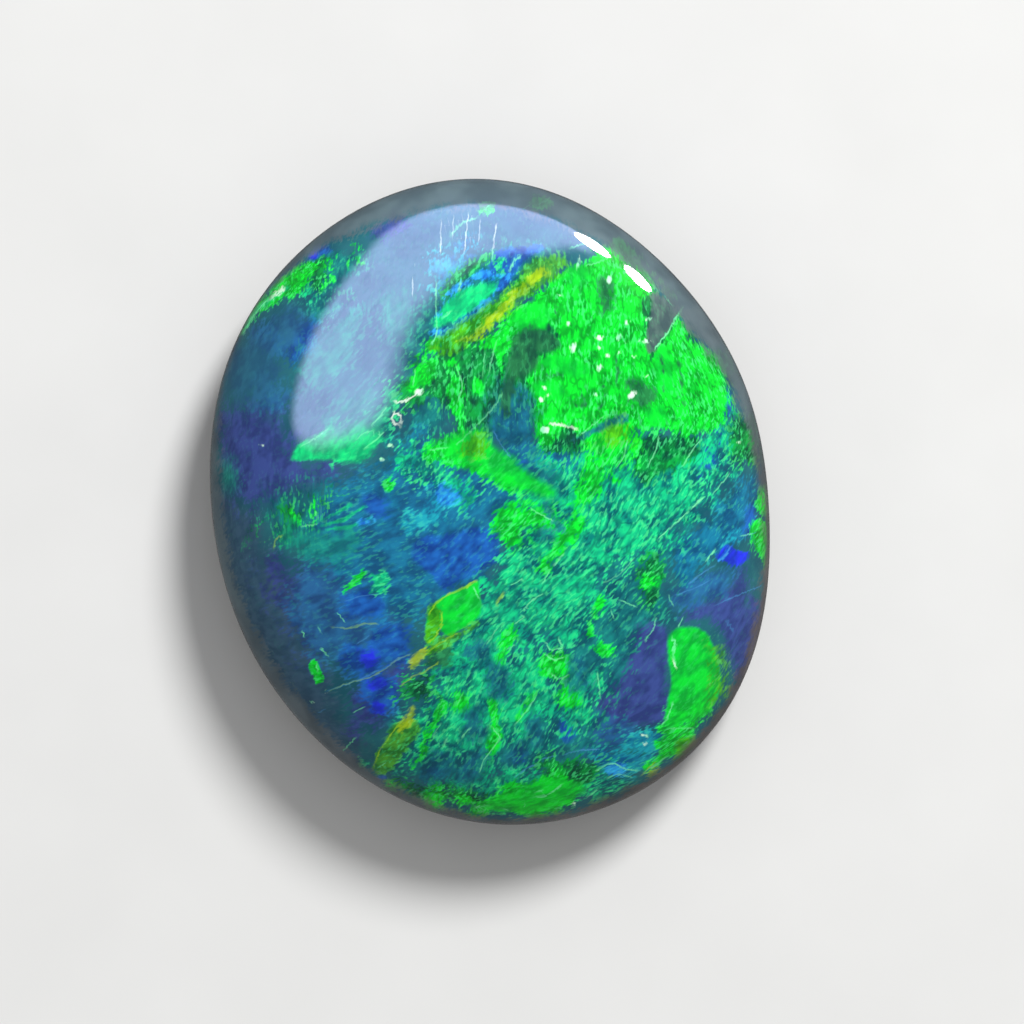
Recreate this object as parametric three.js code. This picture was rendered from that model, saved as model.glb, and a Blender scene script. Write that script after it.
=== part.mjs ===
// A polished black opal cabochon: one solid stone with a low dome, a hand-cut oval outline,
// a narrow ground girdle and a flat back with a bevelled edge.
// Millimetres, +Z up through the dome, +Y along the stone's length.
// The origin is on the flat back, under the middle of the outline.
import * as THREE from 'three';
import { mergeVertices } from 'three/addons/utils/BufferGeometryUtils.js';

// Driving dimensions
const MEAN_RADIUS = 5.38; // of the outline, at the girdle
const HEIGHT = 3.4; // from the flat back to the top of the dome
const GIRDLE_FOOT = 0.92; // height of the girdle's lower edge above the back
const GIRDLE_BAND = 0.32; // height of the ground band between the bevel and the dome
const BACK_SHARE = 0.8; // of the outline's radius that the flat back reaches
const EDGE_ROUND = 0.09; // rounding of the girdle's lower edge and of the back's edge
const BEVEL_BULGE = 0.07; // how far the middle of the bevel stands out from its corners

// The dome's section is a superellipse: flatter than an ellipse on top, and quicker to turn down
// at the rim.
const DOME_POWER = 2.55;
const GIRDLE_TOP = GIRDLE_FOOT + GIRDLE_BAND;
const DOME_RISE = HEIGHT - GIRDLE_TOP;

// The outline, as waves round the mean radius: how many lobes, their height as a share of the
// mean radius, and the direction of one crest in degrees from +X.
const OUTLINE_WAVES = [
  { lobes: 2, share: 0.08, crest: 90 },
  { lobes: 3, share: 0.0044, crest: 56.5 },
  { lobes: 4, share: 0.0026, crest: 12 },
  { lobes: 5, share: 0.0031, crest: 8.6 },
  { lobes: 6, share: 0.0036, crest: 10.4 },
];

// On one side the stone's foot leans outwards, so that it shows from above as a fine rim.
const LEAN = { most: 0.11, towards: -20, halfSpread: 62, height: 0.7 };

// The girdle isn't quite level: the stone is a little thicker on one side.
const THICKER_SIDE = { rise: 0.09, towards: 118 };

// Steps of the mesh
const ROUND_STEPS = 128;
const DOME_STEPS = 22;
const EDGE_STEPS = 3;
const BACK_RINGS = 3;
const MERGE_WITHIN = 1e-4; // points of the seam and of the two poles closer than this are one

const radians = THREE.MathUtils.degToRad;

// Distance from the middle to the outline, in the direction given in radians
function outlineRadius(direction) {
  const waves = OUTLINE_WAVES.map(
    ({ lobes, share, crest }) => share * Math.cos(lobes * (direction - radians(crest))),
  );
  return MEAN_RADIUS * (1 + waves.reduce((sum, wave) => sum + wave, 0));
}

// How far the dome stands back from the outline, in the direction given in radians
function domeSetback(direction) {
  const away = THREE.MathUtils.euclideanModulo(
    direction - radians(LEAN.towards) + Math.PI,
    2 * Math.PI,
  ) - Math.PI;
  const share = Math.max(0, 1 - (away / radians(LEAN.halfSpread)) ** 2);
  return LEAN.most * share ** 2;
}

// The dome's section at the mean radius, from the top of the girdle to the top of the dome
class DomeSection extends THREE.Curve {
  getPoint(share) {
    const turn = share * (Math.PI / 2);
    return new THREE.Vector2(
      MEAN_RADIUS * Math.cos(turn) ** (2 / DOME_POWER),
      GIRDLE_TOP + DOME_RISE * Math.sin(turn),
    );
  }
}

// Half of the stone's section at the mean radius, from the middle of the back round to the top
// of the dome. A corner is rounded by a quadratic curve that starts and ends EDGE_ROUND from it.
function sectionPoints() {
  const backEdge = new THREE.Vector2(BACK_SHARE * MEAN_RADIUS, 0);
  const girdleFoot = new THREE.Vector2(MEAN_RADIUS, GIRDLE_FOOT);
  const alongBevel = girdleFoot.clone().sub(backEdge).setLength(EDGE_ROUND);

  const back = Array.from(
    { length: BACK_RINGS },
    (_, ring) => new THREE.Vector2((ring / BACK_RINGS) * (backEdge.x - EDGE_ROUND), 0),
  );
  const backRound = new THREE.QuadraticBezierCurve(
    new THREE.Vector2(backEdge.x - EDGE_ROUND, 0),
    backEdge,
    backEdge.clone().add(alongBevel),
  );
  const footRound = new THREE.QuadraticBezierCurve(
    girdleFoot.clone().sub(alongBevel),
    girdleFoot,
    new THREE.Vector2(MEAN_RADIUS, GIRDLE_FOOT + EDGE_ROUND),
  );
  const squareToBevel = new THREE.Vector2(alongBevel.y, -alongBevel.x).setLength(BEVEL_BULGE);
  const bevelMiddle = backRound.v2.clone().lerp(footRound.v0, 0.5).add(squareToBevel);

  const dome = new DomeSection().getSpacedPoints(DOME_STEPS);
  dome[DOME_STEPS].x = 0;

  return [
    ...back,
    ...backRound.getPoints(EDGE_STEPS),
    bevelMiddle,
    ...footRound.getPoints(EDGE_STEPS),
    ...dome,
  ];
}

// The section is turned on a lathe, and each point of the round blank is then moved to the
// stone's own outline.
function stoneGeometry() {
  const lathe = new THREE.LatheGeometry(sectionPoints(), ROUND_STEPS);
  lathe.rotateX(Math.PI / 2);
  lathe.deleteAttribute('normal');
  lathe.deleteAttribute('uv');
  const stone = mergeVertices(lathe, MERGE_WITHIN);

  const place = stone.attributes.position;
  const aboveFoot = GIRDLE_FOOT + EDGE_ROUND;
  for (let i = 0; i < place.count; i += 1) {
    const point = new THREE.Vector3().fromBufferAttribute(place, i);
    const direction = Math.atan2(point.y, point.x);
    const reach = outlineRadius(direction);
    const upTheLean = THREE.MathUtils.smoothstep(point.z, aboveFoot, aboveFoot + LEAN.height);
    const grow = (reach - domeSetback(direction) * upTheLean) / MEAN_RADIUS;

    const outwards = Math.hypot(point.x, point.y) / MEAN_RADIUS;
    const offTheBack = THREE.MathUtils.smoothstep(point.z, 0, GIRDLE_FOOT);
    const tilt = Math.cos(direction - radians(THICKER_SIDE.towards));
    const rise = THICKER_SIDE.rise * tilt * outwards ** 2 * offTheBack;
    place.setXYZ(i, point.x * grow, point.y * grow, point.z + rise);
  }

  stone.computeBoundingBox();
  const middle = stone.boundingBox.getCenter(new THREE.Vector3());
  stone.translate(-middle.x, -middle.y, 0);
  stone.computeVertexNormals();
  return stone;
}

const opalMaterial = new THREE.MeshStandardMaterial({
  name: 'black_opal',
  color: new THREE.Color(0.05, 0.2, 0.22),
  roughness: 0.08,
  metalness: 0,
});

const stone = new THREE.Mesh(stoneGeometry(), opalMaterial);
stone.name = 'opal_cabochon';

const cabochon = new THREE.Group();
cabochon.name = 'black_opal_cabochon';
cabochon.add(stone);

export default cabochon;
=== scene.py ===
import math

import bpy
import numpy as np
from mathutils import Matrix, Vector


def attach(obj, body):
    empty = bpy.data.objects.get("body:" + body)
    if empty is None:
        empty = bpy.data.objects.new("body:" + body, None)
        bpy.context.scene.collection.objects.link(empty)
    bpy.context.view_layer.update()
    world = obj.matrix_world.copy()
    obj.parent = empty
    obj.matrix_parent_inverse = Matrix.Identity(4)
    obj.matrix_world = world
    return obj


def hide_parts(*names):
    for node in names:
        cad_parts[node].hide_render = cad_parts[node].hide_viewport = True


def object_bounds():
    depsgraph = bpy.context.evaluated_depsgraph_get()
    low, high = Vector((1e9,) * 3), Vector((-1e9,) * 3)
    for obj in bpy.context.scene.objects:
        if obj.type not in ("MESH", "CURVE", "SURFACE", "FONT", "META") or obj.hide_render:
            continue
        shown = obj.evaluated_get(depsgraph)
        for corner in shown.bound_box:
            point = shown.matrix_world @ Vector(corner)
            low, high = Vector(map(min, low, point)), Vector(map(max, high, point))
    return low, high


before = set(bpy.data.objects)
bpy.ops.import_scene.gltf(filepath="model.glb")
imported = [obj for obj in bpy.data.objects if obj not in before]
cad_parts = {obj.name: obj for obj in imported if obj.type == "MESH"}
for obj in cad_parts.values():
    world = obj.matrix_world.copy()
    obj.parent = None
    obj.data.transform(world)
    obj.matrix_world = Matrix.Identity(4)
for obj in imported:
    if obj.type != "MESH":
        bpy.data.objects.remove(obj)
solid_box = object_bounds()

# A polished black opal cabochon: its play of colour, its potch, its gloss and the studio light.
# Places on the dome are given in view millimetres, as they are seen from straight above: the
# first number to the right, the second away from the viewer, both from the middle of the stone.

MM = 0.001
NODE = "opal_cabochon"
LEAN = math.radians(15.4)  # how far the stone's length leans to the left, seen from above
STONE_TOP = solid_box[1][2]
WELD = 1e-6  # metres
FINER = 2  # levels of subdivision of the solid's mesh
DOME_FOOT = 1.1 * MM  # the play of colour is worked out above this height
FAR = -4.0  # value of a patch where it is out of reach of its ragged edge
CURVE_STEPS = 5  # between two points of an outline
SPARE = 0.1  # millimetres looked at beyond the reach of a mark


# Colours and places
def display(red, green, blue):
    """A colour picked as it shows on a screen, 0 to 255, as the linear values of the shader"""
    linear = []
    for part in (red, green, blue):
        share = part / 255
        linear.append(share / 12.92 if share <= 0.04045 else ((share + 0.055) / 1.055) ** 2.4)
    return (*linear, 1.0)


def to_row(across, away, up=0.0):
    """View millimetres to metres in the solid's own frame"""
    x = across * math.cos(LEAN) + away * math.sin(LEAN)
    y = away * math.cos(LEAN) - across * math.sin(LEAN)
    return Vector((x * MM, y * MM, up * MM))


def to_view(points):
    """Metres in the solid's own frame to view millimetres, for an array of points"""
    x, y = points[:, 0] / MM, points[:, 1] / MM
    across = x * math.cos(LEAN) - y * math.sin(LEAN)
    away = x * math.sin(LEAN) + y * math.cos(LEAN)
    return np.stack([across, away], axis=1)


# Distances to outlines and lines
def smooth_loop(points):
    """A closed Catmull-Rom curve through the points"""
    points = np.array(points, float)
    before, after = np.roll(points, 1, 0), np.roll(points, -1, 0)
    second = np.roll(points, -2, 0)
    curve = []
    for step in range(CURVE_STEPS):
        t = step / CURVE_STEPS
        curve.append(0.5 * (2 * points + (after - before) * t
                            + (2 * before - 5 * points + 4 * after - second) * t ** 2
                            + (3 * points - before - 3 * after + second) * t ** 3))
    return np.stack(curve, axis=1).reshape(-1, 2)


def along_segment(points, start, end):
    """Share of the way along a segment, not held to its ends, and the offset to its left side"""
    way = np.array(end, float) - start
    length = math.hypot(*way)
    away = points - start
    share = (away @ way) / length ** 2
    offset = (away[:, 1] * way[0] - away[:, 0] * way[1]) / length
    return share, offset, length


def distance_to_segment(points, start, end):
    share, _, _ = along_segment(points, start, end)
    nearest = np.array(start) + np.clip(share, 0, 1)[:, None] * (np.array(end) - start)
    return np.hypot(*(points - nearest).T)


def depth_in_outline(points, *outline):
    """Distance to the edge of an outline, positive inside"""
    loop = smooth_loop(outline)
    nearest = np.full(len(points), np.inf)
    inside = np.zeros(len(points), bool)
    for start, end in zip(loop, np.roll(loop, -1, 0)):
        nearest = np.minimum(nearest, distance_to_segment(points, start, end))
        if start[1] == end[1]:
            continue
        spans = (start[1] > points[:, 1]) != (end[1] > points[:, 1])
        crossing = start[0] + (points[:, 1] - start[1]) * (end[0] - start[0]) / (end[1] - start[1])
        inside ^= spans & (points[:, 0] < crossing)
    return np.where(inside, nearest, -nearest)


def depth_in_streak(points, half_width, *route):
    nearest = np.full(len(points), np.inf)
    for start, end in zip(route, route[1:]):
        nearest = np.minimum(nearest, distance_to_segment(points, start, end))
    return half_width - nearest


def depth_in_spot(points, half_length, half_width, turn, centre):
    away = points - np.array(centre)
    turn = math.radians(turn)
    along = away[:, 0] * math.cos(turn) + away[:, 1] * math.sin(turn)
    beside = away[:, 1] * math.cos(turn) - away[:, 0] * math.sin(turn)
    reach = np.hypot(along / half_length, beside / half_width)
    return (1 - reach) * min(half_length, half_width)


# Kinds of mark. Their sizes are in millimetres, and all but the thread begin with the softness
# of their edge.
def mark(softness, reach, points, depth, *shape):
    return {"softness": softness, "reach": reach, "points": points, "depth": depth, "shape": shape}


def area(softness, *outline):
    """A patch whose outline runs smoothly through the points"""
    return mark(softness, 0, outline, depth_in_outline, *outline)


def box(softness, corner, opposite):
    """An area through the corners of an upright box: its upper left and its lower right are given"""
    left, top = corner
    right, foot = opposite
    return area(softness, (left, top), (right, top), (right, foot), (left, foot))


def streak(softness, half_width, *route):
    """A band on both sides of a route"""
    return mark(softness, half_width, route, depth_in_streak, half_width, *route)


def spot(softness, half_length, half_width, turn, centre):
    """An oval with its length turned away from the right by an angle in degrees"""
    reach = max(half_length, half_width)
    return mark(softness, reach, [centre], depth_in_spot, half_length, half_width, turn, centre)


def thread(half_width, strength, *route):
    """A fine line along a route"""
    return {"half_width": half_width, "strength": strength, "points": route}


# The play of colour: the patches of each colour, from the lowest colour to the uppermost
PATCHES = {}
PATCHES["slate"] = [
    # Plain flank at the left, from the rim inwards
    area(0.3, (-5.1, 0.3), (-4.6, 0.2), (-4.1, -0.2), (-3.8, -0.9), (-3.5, -1.3), (-3.2, -2),
        (-2.9, -2.9), (-2.7, -3.6), (-2.3, -4.2), (-2.6, -4.8), (-3.6, -4), (-4.6, -2.6), (-5.1, -1)),
]
PATCHES["violet"] = [
    # Left flank, from the rim to the foot of the pale reflection
    area(0.25, (-4.91, 1.51), (-4.4, 1.79), (-3.7, 1.69), (-3.51, 1.27), (-3.33, 0.81), (-2.63, 0.71),
        (-2.58, 0.43), (-3.42, 0.2), (-3.79, 0.04), (-4.33, -0.1), (-4.63, 0.2), (-4.84, 0.9)),
    # Under the left middle
    area(0.4, (-3.85, -0.99), (-3.41, -1.08), (-2.8, -1.41), (-2.89, -1.87), (-3.03, -2.39),
        (-3.38, -2.55), (-3.5, -1.97), (-3.78, -1.55)),
    # Beside the ultramarine spots at the lower left
    area(0.18, (-1.95, -2.8), (-1.5, -2.75), (-1.5, -3.3), (-1.75, -3.6), (-2.1, -3.95), (-2.5, -4.05),
        (-2.4, -3.5)),
    # Dark wedge at the lower right
    area(0.08, (2.49, -2.11), (3, -2.15), (3.1, -2.9), (3.07, -3.81), (2.39, -4), (1.6, -4.25),
        (1.5, -4.05), (1.9, -3.3), (2.24, -2.74)),
    # Right rim
    area(0.14, (3.95, -1.57), (4.42, -1.24), (4.6, -1.71), (4.88, -1.8), (4.86, -2.5), (4.77, -3.2),
        (4.49, -3.55), (4.37, -3.08), (4.18, -2.62), (4.07, -2.17), (3.6, -2.08), (3.41, -1.89)),
    area(0.12, (-2.08, 4.8), (-1.87, 5.04), (-1.59, 5.08), (-1.5, 4.92), (-1.73, 4.73), (-1.96, 4.69)),
]
PATCHES["navy"] = [
    # Upper left flank
    area(0.16, (-4.27, 2.96), (-3.99, 3.19), (-3.48, 3.31), (-3.15, 3.24), (-3.11, 2.87), (-3.48, 2.59),
        (-4.04, 2.63)),
    area(0.2, (-4.1, 2.18), (-3.79, 2.18), (-3.7, 1.69), (-4.07, 1.69)),
    # Left middle, under the short cyan streaks
    area(0.2, (-3.3, -1.15), (-2.5, -1), (-2, -1.3), (-1.5, -1.9), (-1.6, -2.5), (-2.3, -2.9),
        (-3.1, -2.7), (-3.5, -2)),
    # Right, between the sea field and the violet rim
    area(0.12, (3.09, -1.61), (3.6, -1.29), (3.97, -1.12), (4.3, -1.17), (4.25, -1.52), (3.97, -1.71),
        (3.6, -1.8), (3.18, -1.89)),
    # Lower right, above the green foot
    area(0.12, (1.5, -3.9), (2.43, -3.81), (2.62, -4.13), (2.43, -4.48), (1.97, -4.44), (1.5, -4.48)),
    area(0.12, (1.3, -3.7), (2, -3.6), (2.3, -4), (1.9, -4.3), (1.3, -4.3), (0.9, -4.2)),
]
PATCHES["teal"] = [
    # Ground of the fields in the middle
    area(0.25, (0.3, -0.3), (1.2, 0.9), (2.6, 1.1), (3.8, 1.2), (4.2, 0.4), (3.4, -0.9), (2.6, -2),
        (2.2, -3.2), (1.6, -4.6), (0.4, -5), (-1.2, -4.6), (-1.6, -3.6), (-1, -2.8), (-0.6, -1.9),
        (-0.1, -1.5), (0.2, -1)),
    area(0.14, (-3.2, 3.68), (-2.5, 3.71), (-2.5, 3.22), (-3.15, 3.19)),
    area(0.08, (-3.08, 4.41), (-2.62, 4.45), (-2.27, 4.38), (-2.17, 4.22), (-2.36, 4.06), (-2.59, 3.99),
        (-2.83, 3.66), (-3.11, 3.61), (-3.2, 3.71), (-3.06, 4.13)),
    # Round the left middle
    area(0.2, (-3.9, -0.1), (-3.4, 0.2), (-2.9, 0.35), (-2.2, 0.3), (-1.9, 0.9), (-1.5, 1.3),
        (-1.1, 1.2), (-1.2, 0.6), (-1.5, 0.3), (-1.8, -0.2), (-2.2, -0.6), (-3.2, -0.75), (-3.8, -0.6)),
    # Behind the crescent's foot and the green veins
    area(0.12, (-1.95, 1.6), (-1.6, 2.3), (-1.5, 2.9), (-1.1, 3.6), (-0.6, 4.1), (0, 4.5), (1, 4.4),
        (0.9, 3.9), (0.2, 3.3), (-0.5, 2.9), (-1.1, 2.4), (-1.5, 1.9)),
    area(0.12, (0.04, 1.55), (0.34, 1.69), (0.62, 2.11), (0.71, 1.9), (0.74, 1.51), (0.71, 0.99),
        (0.85, 0.9), (0.71, 0.6), (0.34, 0.9), (0.11, 1.13), (-0.13, 1.27), (0.01, 1.51)),
    box(0.14, (-1.36, 1.95), (-0.78, 1.23)),
    # The sea field's ground, from the middle to the lower edge
    area(0.18, (-1.3, 0.3), (-0.5, 0.6), (0.6, 0.95), (1.8, 1), (3.6, 1.1), (4.5, 1.4), (4.65, 0.8),
        (4, 0.45), (3.6, 0.1), (3.3, -0.8), (3, -1.4), (2.7, -2.1), (2.5, -2.7), (1.9, -3.6),
        (1.6, -4.3), (0.6, -4.5), (-0.4, -4.9), (-1.5, -4.9), (-1.7, -4.3), (-1.3, -3.4), (-1, -2.6),
        (-0.4, -2), (0.1, -1.2), (0.2, -0.5), (-0.4, -0.1)),
    # Right flank, between the field and the rim
    area(0.14, (3.2, -1), (3.6, -0.5), (4.1, 0.1), (4.6, 0.3), (4.6, -0.3), (4.2, -0.7), (3.8, -1),
        (3.3, -1.4)),
    area(0.12, (1.9, -1.6), (2.6, -1.3), (3.1, -1.5), (3.1, -2), (2.4, -2.1), (2, -2.3)),
    box(0.12, (1.83, -4.79), (2.67, -5.11)),
    area(0.12, (2.2, -4.3), (2.9, -4), (3, -4.4), (2.6, -4.8), (2.1, -5), (1.6, -5.1), (1.5, -4.7)),
]
PATCHES["lagoon"] = [
    # Blue-green ground of the middle and the left
    area(0.2, (-2.7, 0.35), (-1.9, 0.7), (-1.3, 1.3), (-0.6, 0.9), (0.4, 0.9), (0.9, 0.6), (0.5, 0.1),
        (0.2, -0.4), (0.1, -1.1), (-0.6, -1.6), (-1.2, -2), (-2, -2), (-2.6, -1.4), (-3.2, -0.8),
        (-3.3, -0.3)),
    area(0.16, (-0.1, 2.1), (0.2, 2.4), (0.6, 2.1), (0.7, 1.5), (0.6, 1), (0.1, 1.1), (-0.2, 1.6)),
    area(0.16, (0.8, 1.1), (1.5, 0.9), (2.2, 0.8), (1.8, 0.4), (1, 0.4), (0.7, 0.7)),
    area(0.14, (3.2, -0.9), (3.9, -0.2), (4.6, 0.5), (4.7, -0.1), (4.5, -0.7), (3.9, -0.9),
        (3.4, -1.4)),
]
PATCHES["royal"] = [
    # Two small ones beside the green edge of the upper left
    area(0.06, (-3.29, 4.27), (-3.15, 4.5), (-2.97, 4.59), (-2.83, 4.59), (-2.87, 4.41), (-3.08, 4.29)),
    area(0.12, (-3.39, 3.19), (-3.06, 3.15), (-3.11, 2.87), (-3.34, 2.54), (-3.6, 2.49), (-3.55, 2.87)),
    area(0.08, (-2.25, 0.13), (-1.97, 0.11), (-1.76, -0.15), (-2.07, -0.27), (-2.25, -0.1)),
    # The lens in the middle
    area(0.07, (-1.39, -0.87), (-1.2, -0.57), (-0.9, -0.54), (-0.59, -0.52), (-0.27, -0.45),
        (0.01, -0.45), (0.15, -0.66), (0.15, -0.94), (0.01, -1.1), (-0.27, -1.22), (-0.5, -1.31),
        (-0.78, -1.5), (-0.92, -1.41), (-1.13, -1.22), (-1.29, -1.1)),
    spot(0.1, 0.17, 0.14, 0, (-0.92, 0.25)),
    # Lower left
    box(0.12, (-2.57, -1.59), (-1.91, -1.97)),
    area(0.09, (-1.89, -2.18), (-1.56, -2.2), (-1.56, -2.57), (-1.82, -2.62)),
    area(0.12, (-2.57, -2.55), (-1.94, -2.55), (-1.87, -3.02), (-2.47, -3.06)),
    area(0.12, (-2.26, -3.06), (-1.68, -3.02), (-1.63, -3.6), (-2.15, -3.6)),
    area(0.1, (-2.1, -2.3), (-1.6, -2.1), (-1.35, -2.5), (-1.5, -2.8), (-1.9, -2.9), (-2.2, -2.7)),
    # Small ones of the lower half
    area(0.05, (1.17, -3.9), (1.27, -3.76), (1.41, -3.9), (1.5, -3.99), (1.45, -4.18), (1.34, -4.25),
        (1.22, -4.09)),
    box(0.04, (-0.68, -3.76), (-0.45, -3.9)),
    box(0.04, (-1.1, -4.27), (-0.92, -4.37)),
    box(0.04, (-1.13, -4.65), (-0.92, -4.79)),
    box(0.03, (-2.01, -4.83), (-1.87, -4.9)),
    box(0.04, (2.15, -4.51), (2.41, -4.6)),
    box(0.06, (0.38, -4.32), (0.61, -4.6)),
    box(0.06, (0.61, -3.67), (0.89, -3.95)),
    box(0.08, (0.34, 0.99), (0.85, 0.6)),
    # Right half
    box(0.06, (3.67, 0.95), (3.97, 0.6)),
    box(0.06, (3.97, 1.35), (4.3, 1.02)),
    box(0.06, (4.07, 2.07), (4.25, 1.53)),
    box(0.05, (3.6, 0.65), (3.74, 0.41)),
    spot(0.04, 0.09, 0.08, 0, (3.13, 0.79)),
    box(0.05, (2.6, 1.16), (2.76, 1.02)),
    box(0.06, (4.49, -0.1), (4.7, -0.57)),
    area(0.04, (-0.01, 4.27), (0.13, 4.45), (0.51, 4.52), (0.93, 4.52), (0.79, 4.41), (0.51, 4.17),
        (0.37, 3.89), (0.18, 3.73), (-0.01, 3.73), (-0.19, 3.8), (-0.1, 3.99)),
    area(0.04, (-0.94, 3.01), (-0.87, 3.12), (-0.73, 3.1), (-0.8, 2.98)),
]
PATCHES["cyan"] = [
    box(0.06, (2.72, -4.23), (2.97, -4.41)),
    area(0.14, (-1.06, 4.13), (-0.73, 4.41), (-0.29, 4.5), (-0.19, 4.27), (-0.52, 3.94), (-0.73, 3.71),
        (-0.99, 3.66)),
    box(0.08, (-0.64, 3.38), (-0.1, 3.15)),
    box(0.1, (-1.41, -0.15), (-0.92, -0.4)),
    box(0.12, (-1.13, 0.39), (-0.41, -0.03)),
    box(0.12, (1.92, 0.32), (2.81, -0.05)),
    area(0.08, (4.16, -0.54), (4.3, -0.54), (4.35, -0.7), (4.16, -0.73)),
    box(0.06, (0.71, -3.95), (0.85, -4.13)),
    area(0.08, (1.85, -4.41), (2.9, -4.41), (2.9, -4.79), (2.2, -4.83), (1.85, -4.69)),
    spot(0.04, 0.07, 0.07, 0, (1.87, -4.97)),
    box(0.08, (2.39, -4.04), (2.97, -4.44)),
]
PATCHES["sea"] = [
    area(0.14, (2.4, 1.45), (3.2, 1.3), (3.9, 1.3), (4.3, 1.6), (4.1, 1), (3.3, 0.9), (2.5, 0.9)),
    area(0.12, (-0.9, -5.05), (-0.2, -4.7), (0.6, -4.6), (1.4, -4.75), (2.2, -4.7), (2, -5.1),
        (1, -5.4), (-0.2, -5.4)),
    # Left edge of the field in the middle
    area(0.12, (0.3, -0.5), (0.2, -1.1), (-0.1, -1.5), (-0.5, -1.75), (-0.7, -2.3), (-1.2, -2.7),
        (-0.6, -3), (0.3, -2.9), (0.9, -2), (1, -1)),
    # The wide sea-green field right of the middle
    area(0.16, (0.7, 0.9), (1.3, 0.8), (2, 1), (2.8, 1.2), (3.6, 1.2), (4, 0.6), (3.7, 0.2),
        (3.4, -0.3), (3, -0.75), (2.5, -1), (2, -1.3), (1.9, -1.8), (1.6, -2.3), (1.2, -2.5),
        (0.4, -2.3), (-0.1, -1.9), (0.2, -1.2), (0.35, -0.7), (0.3, -0.1), (0.6, 0.3)),
    area(0.14, (-1.2, -3.6), (-0.8, -3), (-0.2, -2.6), (0.6, -2.6), (1.1, -2.9), (1.2, -3.6),
        (0.9, -4.2), (0.2, -4.4), (-0.5, -4.6), (-1.3, -4.6), (-1.5, -4.2)),
    area(0.1, (1.2, -3.4), (1.5, -2.8), (1.9, -2.9), (1.8, -3.5), (1.4, -4)),
    # Upper left, from the green triangle to the arc of white
    area(0.06, (-2.72, 1.39), (-2.3, 1.51), (-1.97, 1.69), (-1.83, 1.9), (-1.69, 2.07), (-1.6, 2.02),
        (-1.74, 1.51), (-1.88, 1.23), (-2.09, 0.95), (-2.21, 0.85), (-2.35, 1.06), (-2.63, 0.76),
        (-2.72, 0.76)),
    area(0.03, (0.04, 3.99), (0.13, 4.27), (0.23, 4.29), (0.23, 4.06), (0.11, 3.92)),
    area(0.04, (-0.5, 3.54), (-0.38, 3.75), (-0.19, 3.89), (-0.01, 3.99), (0.18, 3.89), (-0.01, 3.66),
        (-0.15, 3.45), (-0.29, 3.38), (-0.47, 3.31)),
    area(0.04, (-0.94, 3.15), (-0.92, 3.33), (-0.73, 3.47), (-0.5, 3.52), (-0.47, 3.38), (-0.57, 3.22),
        (-0.75, 3.15)),
    area(0.06, (-3.34, 3.89), (-3.11, 4.13), (-2.97, 4.03), (-3.11, 3.66), (-3.29, 3.66)),
    # Under the veins
    area(0.12, (-1.9, 1.9), (-1.55, 2.11), (-1.43, 2.02), (-1.53, 1.69), (-1.62, 1.46), (-1.9, 1.46)),
    box(0.03, (-2.08, -1.27), (-1.84, -1.59)),
    box(0.05, (1.78, -2.85), (1.9, -3.2)),
    box(0.03, (-2.32, -4.55), (-2.15, -4.67)),
    box(0.04, (0.17, -2.78), (0.38, -2.99)),
    box(0.04, (1.83, -2.92), (1.94, -3.48)),
    area(0.12, (-1.6, 0.9), (-1.1, 1.05), (-0.7, 0.75), (-0.3, 0.3), (-0.5, 0.05), (-1.1, 0.35),
        (-1.6, 0.6)),
    area(0.1, (4, 1.7), (4.4, 1.5), (4.6, 1.1), (4.4, 0.8), (4, 0.9)),
]
PATCHES["deepgreen"] = [
    spot(0.16, 0.3, 0.12, 30, (-3.4, -0.25)),
    # Under the whole green field, its veins and its hole
    area(0.12, (-1.6, 1.9), (-1.1, 2.6), (-0.5, 2.9), (0.1, 3.1), (0.7, 3.6), (1.4, 4.1), (2.2, 4.5),
        (2.8, 4.1), (3.4, 3.3), (4.1, 2.4), (4.1, 1.5), (3, 1.3), (2, 1), (1, 0.9), (0.75, 1.3),
        (0.6, 2), (0.2, 1.7), (-0.2, 1.1), (-0.5, 1.2), (-0.8, 1.7)),
    # Veins left of the hole
    area(0.07, (-1.55, 1.6), (-1.5, 2.07), (-1.29, 2.49), (-0.83, 2.72), (-0.27, 2.81), (0.43, 3),
        (0.67, 3), (1.13, 2.72), (1.13, 2.3), (0.67, 1.69), (0.11, 1.6), (-0.03, 1.51), (-0.41, 1.09),
        (-0.59, 1.13), (-0.73, 1.51), (-0.73, 1.93), (-0.92, 2.07), (-1.13, 1.88), (-1.36, 1.69)),
    area(0.05, (-0.92, 3.66), (-0.73, 3.99), (-0.38, 4.27), (-0.01, 4.41), (-0.1, 4.17), (-0.38, 3.99),
        (-0.57, 3.73), (-0.8, 3.47)),
    area(0.05, (-3.2, 4.27), (-2.97, 4.41), (-2.87, 4.27), (-2.92, 3.94), (-3.06, 3.73), (-3.18, 3.85)),
    # Greens of the field's right side
    area(0.12, (3.73, 2.75), (4.2, 2.75), (4.29, 2), (3.73, 2)),
    area(0.08, (4.25, 1.49), (4.77, 1.49), (4.81, 0.79), (4.25, 0.79)),
    area(0.07, (2.55, 1.21), (3.6, 1.21), (3.32, 0.6), (2.71, 0.37), (2.48, 0.79)),
    box(0.08, (2.62, -0.98), (2.99, -1.71)),
    area(0.08, (0.89, -4.51), (1.41, -4.51), (1.92, -4.6), (1.87, -4.83), (1.41, -5.07), (0.89, -5.02)),
    box(0.1, (-1.55, -3.13), (-1.03, -3.48)),
    area(0.08, (-1.6, -4.95), (-0.9, -4.95), (-0.2, -5.1), (-0.1, -5.35), (-0.8, -5.3), (-1.5, -5.15)),
]
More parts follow.
